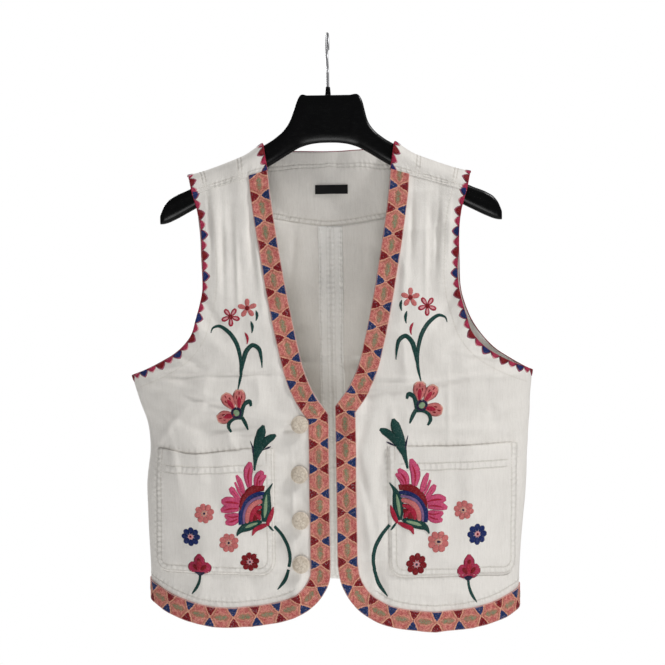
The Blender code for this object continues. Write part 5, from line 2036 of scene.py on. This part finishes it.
def disc(thread: Thread, centre: Sequence[float], radius: float, base: float = 0.0,
         lean: float = 0.0) -> Satin:
    """A filled circle: half widths sqrt(r^2 - t^2) along a straight spine.

    Args:
        thread: Its thread.
        centre: Its middle, (x, z).
        radius: Its radius.
        base: Height of what it lies on.
        lean: The turn of its spine in radians.

    Returns:
        The patch.
    """
    step = np.array([math.cos(lean), math.sin(lean)]) * radius
    half_widths = radius * np.sqrt(np.clip(1 - np.linspace(-1, 1, 11) ** 2, 0.01, 1))
    return Satin(thread, centre + step * np.linspace(-1, 1, 5)[:, None], half_widths, base)


def arc_of(thread: Thread, centre: Sequence[float], radii: Pair, start: float, end: float,
           half_widths: Sequence[float], base: float) -> Satin:
    """Part of an ellipse's outline, from one turn in degrees to another.

    Args:
        thread: Its thread.
        centre: The ellipse's middle.
        radii: Its two radii, across and up.
        start, end: Turns from straight up.
        half_widths: Half widths along the arc.
        base: Height of what it lies on.

    Returns:
        The patch.
    """
    spine = [centre + radii * direction(turn) for turn in np.linspace(start, end, 13)]
    return Satin(thread, spine, half_widths, base)


def star(centre: Sequence[float], first: float, outer: Thread, inner: Thread) -> list[Satin]:
    """A five-petalled flower with long narrow petals, each with a middle of its own colour.

    Args:
        centre: Its middle.
        first: Turn of the first petal, in degrees.
        outer, inner: Threads of the petals and of their middles, which may be the same.

    Returns:
        Its patches.
    """
    made = []
    for k in range(5):
        way = direction(first + 72 * k)
        made.append(Satin(outer, centre + way * [[1.2], [6.2], [11.2]], (0.9, 2.2, 2.8, 2.8, 1.3)))
        if inner is not outer:
            made.append(Satin(inner, centre + way * [[2.7], [6.2], [9.8]],
                              (0.5, 1.1, 1.35, 1.2, 0.5), 0.35))
    return [*made, disc(DARK_RED, centre, 2.7, 0.55)]


def blossom(centre: Sequence[float], petals: Thread, heart: Thread, eye: Thread, first: float,
            size: float = 11.4) -> list[Satin]:
    """A small round flower of eight petals round a stitched heart.

    Args:
        centre: Its middle.
        petals, heart, eye: Its threads, from outside to inside.
        first: Turn of the first petal, in degrees.
        size: Length of a petal from the middle.

    Returns:
        Its patches.
    """
    half_widths = size * np.array([0.06, 0.15, 0.26, 0.3, 0.27, 0.12])
    made = [Satin(petals, centre + direction(first + 45 * k) * [[0.22 * size], [0.6 * size], [size]],
                  half_widths, 0.06 * (k % 2)) for k in range(8)]
    return [*made, disc(heart, centre, 0.3 * size, 0.45), disc(eye, centre, 0.15 * size, 0.75)]


def thistle_bud(x: float, z: float) -> list[Satin]:
    """A three-lobed bud on a dark cup, with its bent stem.

    Args:
        x, z: Its middle.

    Returns:
        Its patches.
    """
    return [
        *[petal(ROSE, (x, z - 10), (x + 8 * side, z + 3.2), 7.0, 0.0, -0.16 * side) for side in (-1, 1)],
        petal(ROSE, (x, z - 8), (x, z + 12.8), 6.4, 0.15),
        petal(CRIMSON, (x, z - 7), (x, z + 6), 3.4, 0.6),
        *[petal(DARK_RED, (x + 2 * side, z - 7), (x + 7.5 * side, z), 2.4, 0.5) for side in (-1, 1)],
        disc(DARK_RED, (x, z + 5.5), 2.2, 0.8),
        Satin(INK, ((x - 5.6, z - 9.6), (x, z - 11.4), (x + 5.6, z - 9.6)), (0.6, 2, 2.6, 2, 0.6), 0.45),
        Satin(GREEN, ((x, z - 12.5), (x + 0.8, z - 19), (x + 4.2, z - 28), (x + 10.6, z - 37)),
              (1.5, 1.6, 1.8, 1.6, 0.5))]


def calyx_petal(root: Sequence[float], tip: Sequence[float], wide: float) -> list[Satin]:
    """A petal of the flower in the calyx: pale rim, salmon face, crimson middle, three dark marks.

    Args:
        root, tip: Its ends.
        wide: Half its width.

    Returns:
        Its patches.
    """
    root, reach = np.array(root), np.subtract(tip, root)
    shares, made = np.array([0.26, 0.48, 0.74, 0.95, 1.06, 1.04, 0.86, 0.45]), []
    for grown, base, thread in ((1.0, -0.12, PEACH), (0.0, 0.06, SALMON)):
        end = root + reach * 0.98 + unit(reach) * grown
        made.append(Satin(thread, (root, (root + end) / 2, end), shares * wide + 0.8 * grown, base))
    made.append(petal(CRIMSON, root, root + reach * 0.66, 0.4 * wide, 0.35))
    for shift, start in ((0.42, 0.5), (-0.42, 0.5), (0.0, 0.72)):
        foot = root + reach * start + leftward(unit(reach)) * shift * wide
        made.append(petal(DARK_RED, foot, foot + reach * 0.2, 0.8, 0.62))
    return made


def fan_petal(spine: Rows, *half_widths: float) -> list[Satin]:
    """A petal of the fan-shaped flower, with a thin crimson line up its middle.

    Args:
        spine: Points from root to tip.
        half_widths: Half widths along it.

    Returns:
        Its patches.
    """
    spine, half_widths = np.array(spine), np.array(half_widths)
    return [Satin(PINK, spine, 1.08 * half_widths),
            Satin(CRIMSON, spine[0] + (spine - spine[0]) * 0.86, 0.26 * half_widths, 0.42, 0.4)]


def upper_spray() -> list[Satin]:
    """The flowers above the pocket, in (x, z) of the left front with x counted outward.

    From the top: two stars with small leaves, a forked sprig, a three-petalled flower in a
    green calyx, and a double leaf over the pocket's mouth.
    """
    return [
        *star((97.2, -326.3), 2, SALMON, SALMON), *star((116.8, -336), 182, CRIMSON, PALE_PINK),
        petal(GREEN, (87.3, -341.2), (87.3, -329), 1.6, 0.0, 0.12),
        petal(GREEN, (92.3, -355.3), (93.2, -341.5), 1.7, 0.0, 0.1),
        petal(CRIMSON, (98, -368), (100.4, -354.5), 1.6, 0.0, 0.14),
        Satin(GREEN, ((109, -421), (105, -400.5), (106, -381.5), (111.5, -364), (120.5, -352.5),
                      (132, -346.5), (138, -349), (140, -354.5)), (0.6, 1.7, 2, 2.2, 2.5, 2.4, 1.9, 0.5)),
        Satin(GREEN, ((104.6, -401), (102, -386.5), (98, -375), (91, -369.2), (84.5, -373),
                      (81.5, -383.5), (80.6, -395.5)), (1.2, 2.3, 2.8, 2.5, 2.4, 1.6, 0.5), 0.12),
        *calyx_petal((107.8, -441.5), (107.4, -420.6), 7.2),
        *calyx_petal((113.5, -443), (125.4, -425.5), 6.9),
        *calyx_petal((112.5, -449), (133.5, -454), 7.3),
        Satin(GREEN, ((105.5, -452.5), (104, -443.5), (100.5, -436.3), (95.5, -434), (93.8, -439.5)),
              (2.0, 2.5, 2.3, 2.5, 1.4), 0.1),
        Satin(GREEN, ((104.5, -452), (101.5, -458), (98, -467)), (2.2, 2.2, 0.9), 0.1),
        Satin(GREEN, ((105.5, -452.8), (113.5, -453.6), (119, -457.5), (120.6, -463.5),
                      (117.5, -469.5)), (2.0, 2.0, 2.2, 2.0, 1.2), 0.15),
        arc_of(INK, (110.8, -447), (4.9, 5.2), 0, 356, (1.6, 1.6, 1.6), 0.4),
        disc(PALE_GREEN, (110.8, -447), 3.8, 0.45, 0.8),
        Satin(GREEN, ((90.5, -513.5), (89.3, -503), (87.5, -487), (83.5, -473), (79.8, -461.5)),
              (1.2, 1.8, 2.6, 3.6, 4.6, 5.4, 5.6, 5.0, 1.6)),
        Satin(GREEN, ((88.8, -502), (84.5, -490), (76, -479), (65.5, -472.5)),
              (1.2, 2.2, 3.0, 3.8, 4.3, 4.4, 3.9, 1.4), 0.15),
        petal(INK, (89.4, -507), (95.5, -479.5), 1.0, 0.05, 0.05),
        petal(INK, (81, -490.3), (71.5, -486), 1.0, 0.05)]


def lower_spray() -> list[Satin]:
    """The large fan-shaped flower with its stem, then four small blossoms and a bud."""
    apex = (84.5, -570.0)
    return [
        *fan_petal(((96.5, -533), (98.4, -518.5), (95.2, -503.5)), 2.6, 4.2, 5.0, 4.8, 1.8),
        *fan_petal(((88.5, -533.5), (86.5, -523), (81.5, -513.5)), 2.4, 3.8, 4.6, 4.2, 1.6),
        *fan_petal(((86.5, -534), (83.8, -525), (78, -518.5)), 2.2, 3.2, 3.4, 2.8, 1.2),
        *fan_petal(((103, -540), (107.5, -528.5), (112, -519)), 2.0, 2.8, 3.0, 2.8, 1.4),
        *fan_petal(((106, -543), (110.5, -534.5), (114, -527)), 1.4, 1.7, 1.6, 1.2),
        *fan_petal(((108, -548), (113.5, -540.5), (119, -532.5)), 2.0, 2.8, 3.0, 3.2, 1.6),
        *fan_petal(((108.5, -551.5), (119, -549), (129, -548.5)), 3.2, 5.0, 5.6, 5.2, 2.0),
        *fan_petal(((109.5, -556.5), (120, -556.5), (130, -559.5)), 2.8, 4.2, 4.8, 4.2, 1.8),
        *fan_petal(((109, -565), (118.5, -566.5), (125.5, -564.5)), 2.6, 4.4, 4.6, 3.8, 1.6),
        *fan_petal(((109.5, -568), (117.5, -571.5), (124.8, -573.5)), 2.4, 4.2, 4.6, 3.8, 1.6),
        arc_of(DARK_RED, apex, (24.6, 36.4), -10, 72, (3.2, 4.4, 4.6, 4.2, 1.2), 0.3),
        arc_of(NAVY, apex, (23.2, 30.0), -10, 100, (2.2, 2.8, 2.9, 2.9, 3.0, 2.2), 0.36),
        arc_of(LILAC, apex, (19.6, 25.6), -9, 100, (1.4, 1.7, 1.8, 1.7, 1.4), 0.42),
        arc_of(SALMON, apex, (15.4, 20.8), -10, 101, (2.6, 3.2, 3.2, 3.2, 2.4), 0.38),
        arc_of(CRIMSON, apex, (10.6, 14.6), -8, 98, (2.0, 2.8, 3.0, 2.8, 1.8), 0.44),
        arc_of(DARK_RED, apex, (6.2, 8.6), -5, 95, (2.6, 3.0, 3.0, 3.0, 2.4), 0.5),
        petal(CRIMSON, apex, (90.5, -561), 3.4, 0.55),
        Satin(GREEN, ((80.4, -572.5), (78.6, -559), (78, -547), (75.5, -536.5), (70.3, -528.5)),
              (2.2, 5.0, 6.2, 5.2, 2.4, 0.5), 0.55),
        Satin(PALE_GREEN, ((80, -568), (79, -555), (77.6, -541.5)), (0.8, 2.0, 2.2, 1.7, 0.5), 0.95),
        Satin(GREEN, ((82.8, -572), (92, -574.6), (101.5, -578), (108.5, -582.5), (111.8, -588)),
              (1.6, 4.2, 5.6, 5.2, 3.0, 0.7), 0.5),
        Satin(PALE_GREEN, ((87, -573.2), (94.5, -575.6), (103, -579)), (0.7, 1.8, 2.1, 1.8, 0.6), 0.9),
        Satin(CRIMSON, ((77, -576), (73.6, -567.5), (71.6, -562), (69.8, -555.5)),
              (1.4, 3.0, 2.6, 0.6), 0.5),
        Satin(CRIMSON, ((78, -575.5), (83.5, -577.6), (90.5, -581), (94, -588)),
              (1.5, 2.8, 2.6, 0.7), 0.6),
        Satin(GREEN, ((75.2, -576), (73, -579), (69.8, -583)), (1.0, 1.4, 0.6)),
        Satin(GREEN, ((68.8, -577.5), (59.5, -589.5), (53, -603), (51.2, -615.5), (52.6, -624.5)),
              (1.7, 2.0, 2.1, 2.0, 1.8)),
        Satin(GREEN, ((53, -627.5), (57, -639), (66, -651)), (1.7, 2.1, 1.9, 0.6)),
        *blossom((149.4, -562.5), SALMON, PEACH, INK, 12),
        *blossom((165.4, -590.4), NAVY, PALE_PINK, DARK_RED, 0),
        *blossom((121, -596.5), SALMON, PEACH, INK, 20),
        *blossom((97.2, -618.8), DARK_RED, PALE_PINK, INK, 8, 11.2),
        *thistle_bud(155.6, -623.6)]


def thread_colours(colours: Array, lift: Array) -> dict[str, Array]:
    """The tint that a tube of thread carries: a colour for each of its rings, and alpha 1.

    Args:
        colours: A colour for each ring.
        lift: The tube's grid of heights, for its shape.

    Returns:
        What the patch carries.
    """
    tint = np.clip(colours, 0, 1)[:, None] + np.zeros((*lift.shape, 1))
    return {"tint": np.pad(tint, ((0, 0), (0, 0), (0, 1)), constant_values=1.0)}


@dataclass
class Embroiderer:
    """Turns satin patches into thread that lies on the cloth.

    Rows of thread are jittered by a few tenths of a millimetre, and toned a little.
    """

    place: Place
    row: float = 0.4
    sunk: float = 0.3
    jitter: float = 0.14
    tones: Pair = (0.84, 1.12)
    seed: int = 7
    random: np.random.Generator = field(init=False)

    def __post_init__(self) -> None:
        """Start the same random threads each run."""
        self.random = np.random.default_rng(self.seed)

    def patch(self, satin: Satin) -> Patch:
        """The closed shell of one satin patch, with the thread's colour as "tint".

        Each row of thread is a ring of eight points across the spine: five on the domed top,
        at height h sqrt(1 - a^2) for a share a of the half width, and three sunk ones below.
        Every other row is a little lower, and all are jittered in width and colour. The first
        and last rings close to a point.

        Args:
            satin: The patch of satin stitch.

        Returns:
            Its closed shell.
        """
        path = smooth_path(satin.spine, 120)
        total = length_along(path)[-1]
        count = max(int(total / self.row), 4) + 1
        share = np.linspace(0, 1, count)
        centre = point_on(path, share)
        knots = np.linspace(0, 1, len(satin.half_widths))
        width = np.clip(smooth_lookup(knots, satin.half_widths, share), 0.2, None)
        jitter = self.random.uniform(-self.jitter, self.jitter, (count, 2))
        across = np.array([-1, -0.62, 0, 0.62, 1, 0.7, 0, -0.7])
        offset = across * width[:, None] + np.where(across < 0, jitter[:, :1], jitter[:, 1:])
        crown = (satin.height * np.clip(width / 1.6, 0.45, 1) * (1 - 0.13 * (np.arange(count) % 2))
                 * np.clip(np.minimum(share, 1 - share) * total / 0.5, 0.25, 1))
        upper = crown[:, None] * np.sqrt(1 - across[:5] ** 2)
        lift = satin.base + np.concatenate([upper, np.full((count, 3), -self.sunk)], axis=1)
        lift = np.pad(lift, ((1, 1), (0, 0)), constant_values=satin.base + 0.05)
        points = capped(centre[:, None] + left_of(centre)[:, None] * offset[..., None], centre)
        uv = grid_of(np.pad(share, 1, mode="edge")[:, None] * total, across)
        tones = self.random.uniform(*self.tones, count + 2)[:, None]
        colours = np.array(satin.thread.value) * tones
        return Patch(self.place(points, lift), uv=uv * METRES, round=True,
                     carried=thread_colours(colours, lift))


@dataclass(frozen=True)
class FlowerSpray:
    """The flowers on one front and its pocket.

    The right front's are the left's mirrored, then shifted a little by a table of height,
    drop, sideways shift at x = 130, and its growth for each 80 mm outward.
    """

    front: Front
    shifts: Rows = ((-320, 10, -4.5, 0.5), (-430, 6, -6.0, 3.0), (-465, 5, -7.0, 5.5),
                    (-520, 0, -2.5, 6.0), (-560, 0, -0.5, 6.0), (-590, 0, -1.0, 6.0),
                    (-650, -4, -2.0, 5.0))

    def place(self, points: Array, lift: Array) -> Array:
        """Put the left front's (x, z) on this front's cloth or its pocket.

        Args:
            points: Points (..., 2).
            lift: How far out.

        Returns:
            Points (..., 3).
        """
        if self.front.side > 0:
            x, z = points[..., 0], points[..., 1]
            keys, *columns = zip(*self.shifts)
            drop, shift, growth = (smooth_lookup(keys, column, z) for column in columns)
            points = np.stack([x + shift + growth * np.clip((x - 130) / 80, -1, 0), z + drop], axis=-1)
        return self.front.pocket.place_on_top(FORM.from_front(points), lift)

    def build(self, shop: Workshop) -> None:
        """Make the spray as one piece; the right one's stem has a piece more."""
        maker, satins = Embroiderer(self.place), upper_spray() + lower_spray()
        if self.front.side > 0:
            satins.append(Satin(GREEN, ((52.2, -621.5), (52.5, -625.5), (54.0, -629.5)), (1.8, 1.8)))
        shop.piece(f"embroidery_{self.front.name}", [maker.patch(satin) for satin in satins],
                   ThreadFinish())


@dataclass(frozen=True)
class ScallopEdge:
    """An edge whipped with thread, with half-round scallops of satin stitch inside it.

    One scallop stands at the anchor, and the others a pitch apart.
    """

    name: str
    path: Array
    place: Place
    inward: int
    anchor: float = 1.2
    pitch: float = 12.25
    dark_share: float = 0.35
    tones: Pair = (0.8, 1.25)

    def satins(self) -> list[Satin]:
        """The scallops, large navy, small pink, large red, small pink; a navy one at the anchor."""
        total = length_along(self.path)[-1]
        numbers = np.arange(math.ceil((1.0 - self.anchor) / self.pitch),
                            math.floor((total - 1.0 - self.anchor) / self.pitch) + 1)
        at = (self.anchor + numbers * self.pitch) / total
        ways = leftward(heading(self.path, at, 0.6)) * self.inward
        made = []
        for number, centre, way in zip(numbers, point_on(self.path, at), ways):
            large = ((MAUVE, 6.9, 8.2, 0.0), (DARK_RED if number % 4 else NAVY, 5.8, 6.7, 0.3))
            small = ((PALE_PINK, 6.3, 6.3, 0.0), (ROSE, 5.8, 5.2, 0.25))
            made += [self.half_disc(centre - way * 0.2, way, *kind)
                     for kind in (small if number % 2 else large)]
        return made

    @staticmethod
    def half_disc(root: Array, way: Array, thread: Thread, half_base: float, depth: float,
                  base: float) -> Satin:
        """A rounded bell: half width b (1 - t^1.7)^0.85 at a share t of the depth.

        Args:
            root: The middle of its flat side.
            way: The unit direction of its depth.
            thread: Its thread.
            half_base: Half its flat side.
            depth: How far it reaches.
            base: Height of what it lies on.

        Returns:
            The patch.
        """
        widths = half_base * (1 - np.linspace(0, 0.97, 9) ** 1.7) ** 0.85
        return Satin(thread, (root, root + way * depth / 2, root + way * depth), widths, base, 0.5)

    def cord(self, radius: float = 0.95, row: float = 0.7, sides: int = 8) -> Patch:
        """The whipped edge: a tube round the path, its rings in turn a little fuller and thinner.

        Its colour changes between pink and dark red from row to row.

        Args:
            radius: Radius of the tube.
            row: Distance between rings.
            sides: Points of a ring.

        Returns:
            The tube.
        """
        total = length_along(self.path)[-1]
        count = int(total / row) + 1
        share, turn = np.linspace(0, 1, count), round_angles(sides)
        centre = point_on(self.path, share)
        swell = radius * (1 - 0.12 * (np.arange(count) % 2))[:, None]
        aside = left_of(centre)[:, None] * (swell * np.cos(turn) * 0.75)[..., None]
        lift = np.pad(0.1 - PANEL_WALL / 2 + swell * np.sin(turn) * 1.15, ((1, 1), (0, 0)),
                      constant_values=-PANEL_WALL / 2)
        random = np.random.default_rng(11)
        pick = (random.uniform(0, 1, count + 2) < self.dark_share)[:, None]
        colours = np.where(pick, DARK_RED.value, CRIMSON.value)
        colours = colours * random.uniform(*self.tones, count + 2)[:, None]
        uv = grid_of(np.pad(share, 1, mode="edge")[:, None] * total, lift) * METRES
        return Patch(self.place(capped(centre[:, None] + aside, centre), lift), uv=uv, round=True,
                     carried=thread_colours(colours, lift))

    def build(self, shop: Workshop) -> None:
        """Make the edging as one piece."""
        maker = Embroiderer(self.place, row=0.62)
        patches = [maker.patch(satin) for satin in self.satins()]
        shop.piece(self.name, [*patches, self.cord()], ThreadFinish())


def scalloped_edges(yoke: Yoke) -> list[ScallopEdge]:
    """All whipped and scalloped edges: four armhole edges, the yoke's ends, and the neck.

    Args:
        yoke: The yoke, for its neck and its ends.

    Returns:
        The edges, in the order of making.
    """
    edges = [ScallopEdge(f"armhole_edging_{panel.node}", smooth_steps(panel.armhole(120), 2.0),
                         panel.place, -1) for panel in (*FRONTS, *BACKS)]
    for name, side in (("left", -1), ("right", 1)):
        ridge = length_along(yoke.front_grid(side)[:, -1])[-1]
        edges.append(ScallopEdge(f"shoulder_edging_{name}", yoke.arm_path(side), yoke.place, side, ridge))
    ridge = length_along(yoke.front_grid(-1)[:, 0])[-1]
    round_neck = length_along(yoke.neck_path())[-1] - 2 * ridge
    pitch = round_neck / (4 * round(round_neck / 4 / ScallopEdge.pitch))
    return [*edges, ScallopEdge("neck_edging", yoke.neck_path(), yoke.place, 1, ridge, pitch)]


# ---- studio
@dataclass(frozen=True)
class Studio:
    """A pale floor and background, soft lamps and the camera; sizes in metres."""

    distance: float = 1.25
    centre: Pair = (0.00126, -0.3559)
    lens: float = 56.4
    roll: float = 0.85
    floor_z: float = -1.3
    floor_radius: float = 1.65
    glow: float = 0.19
    lamps: tuple[tuple[str, tuple[float, float, float], float, float], ...] = (
        ("key_lamp", (1.6, -0.85, 1.55), 0.5, 42.0), ("low_lamp", (-0.1, -2.3, -0.95), 0.8, 15.0),
        ("back_lamp", (-1.5, 1.9, 0.9), 1.0, 40.0))

    def camera(self) -> None:
        """The camera, square to the front with a small roll."""
        data = bpy.data.cameras.new("view")
        data.lens = self.lens
        data.sensor_width = 36.0
        data.clip_end = 60.0
        camera = linked("view", data)
        x, z = self.centre
        camera.matrix_world = (Matrix.Translation((x, -self.distance, z))
                               @ Matrix.Rotation(math.radians(90), 4, "X")
                               @ Matrix.Rotation(math.radians(-self.roll), 4, "Z"))
        bpy.context.scene.camera = camera

    def floor(self) -> None:
        """A round plain floor well below the hanging waistcoat: rings, closed at the centre."""
        radius = np.array([[0.0], [0.25], [1.0]]) * self.floor_radius / METRES
        points = turned(radius, self.floor_z / METRES, round_angles(96))
        obj = linked("studio_floor", mesh_of("studio_floor", [Patch(points, (0, 0, 1), round=True)]))
        obj.data.materials.append(FloorFinish().material())

    def world(self) -> None:
        """White to the camera, and a weaker light on the object."""
        world = bpy.data.worlds.new("studio")
        bpy.context.scene.world = world
        graph = Graph(world)
        seen, lights = (graph.node("ShaderNodeBackground", None, {"Color": (1, 1, 1), "Strength": strength})
                        for strength in (1.0, self.glow))
        to_camera = graph.node("ShaderNodeLightPath").outputs["Is Camera Ray"]
        shaders = {0: to_camera, 1: lights.outputs[0], 2: seen.outputs[0]}
        mixed = graph.node("ShaderNodeMixShader", None, shaders)
        graph.node("ShaderNodeOutputWorld", None, {"Surface": mixed.outputs[0]})

    def lamp(self, name: str, place: tuple[float, float, float], size: float, power: float) -> None:
        """A square soft lamp that faces the middle of the waistcoat.

        Args:
            name: Its name.
            place: Where it stands.
            size: Length of its side.
            power: Watts.
        """
        data = bpy.data.lights.new(name, "AREA")
        data.size = size
        data.energy = power
        lamp = linked(name, data)
        aim = Vector((0, 0, self.centre[1])) - Vector(place)
        lamp.matrix_world = Matrix.Translation(place) @ aim.to_track_quat("-Z", "Y").to_matrix().to_4x4()
        lamp.visible_camera = False

    def build(self) -> None:
        """Set up the whole studio."""
        bpy.context.scene.view_settings.view_transform = "Standard"
        self.camera()
        self.floor()
        self.world()
        for lamp in self.lamps:
            self.lamp(*lamp)


def main() -> None:
    """Build the waistcoat and its hanger, then the studio."""
    logging.basicConfig(level=logging.INFO, format="%(name)s: %(message)s")
    shop, yoke = Workshop(), Yoke()
    for front in FRONTS:
        front.build(shop)
        FlowerSpray(front).build(shop)
    buttons = [Button(number, -38.4, z) for number, z in enumerate((-461.6, -518.9, -571.1, -621.0), 1)]
    for part in (*BACKS, SeamTape(), yoke, *scalloped_edges(yoke), Label(), *buttons, Hanger(), Hook(),
                 Ferrule()):
        part.build(shop)
    Studio().build()


if __name__ == "__main__":
    main()
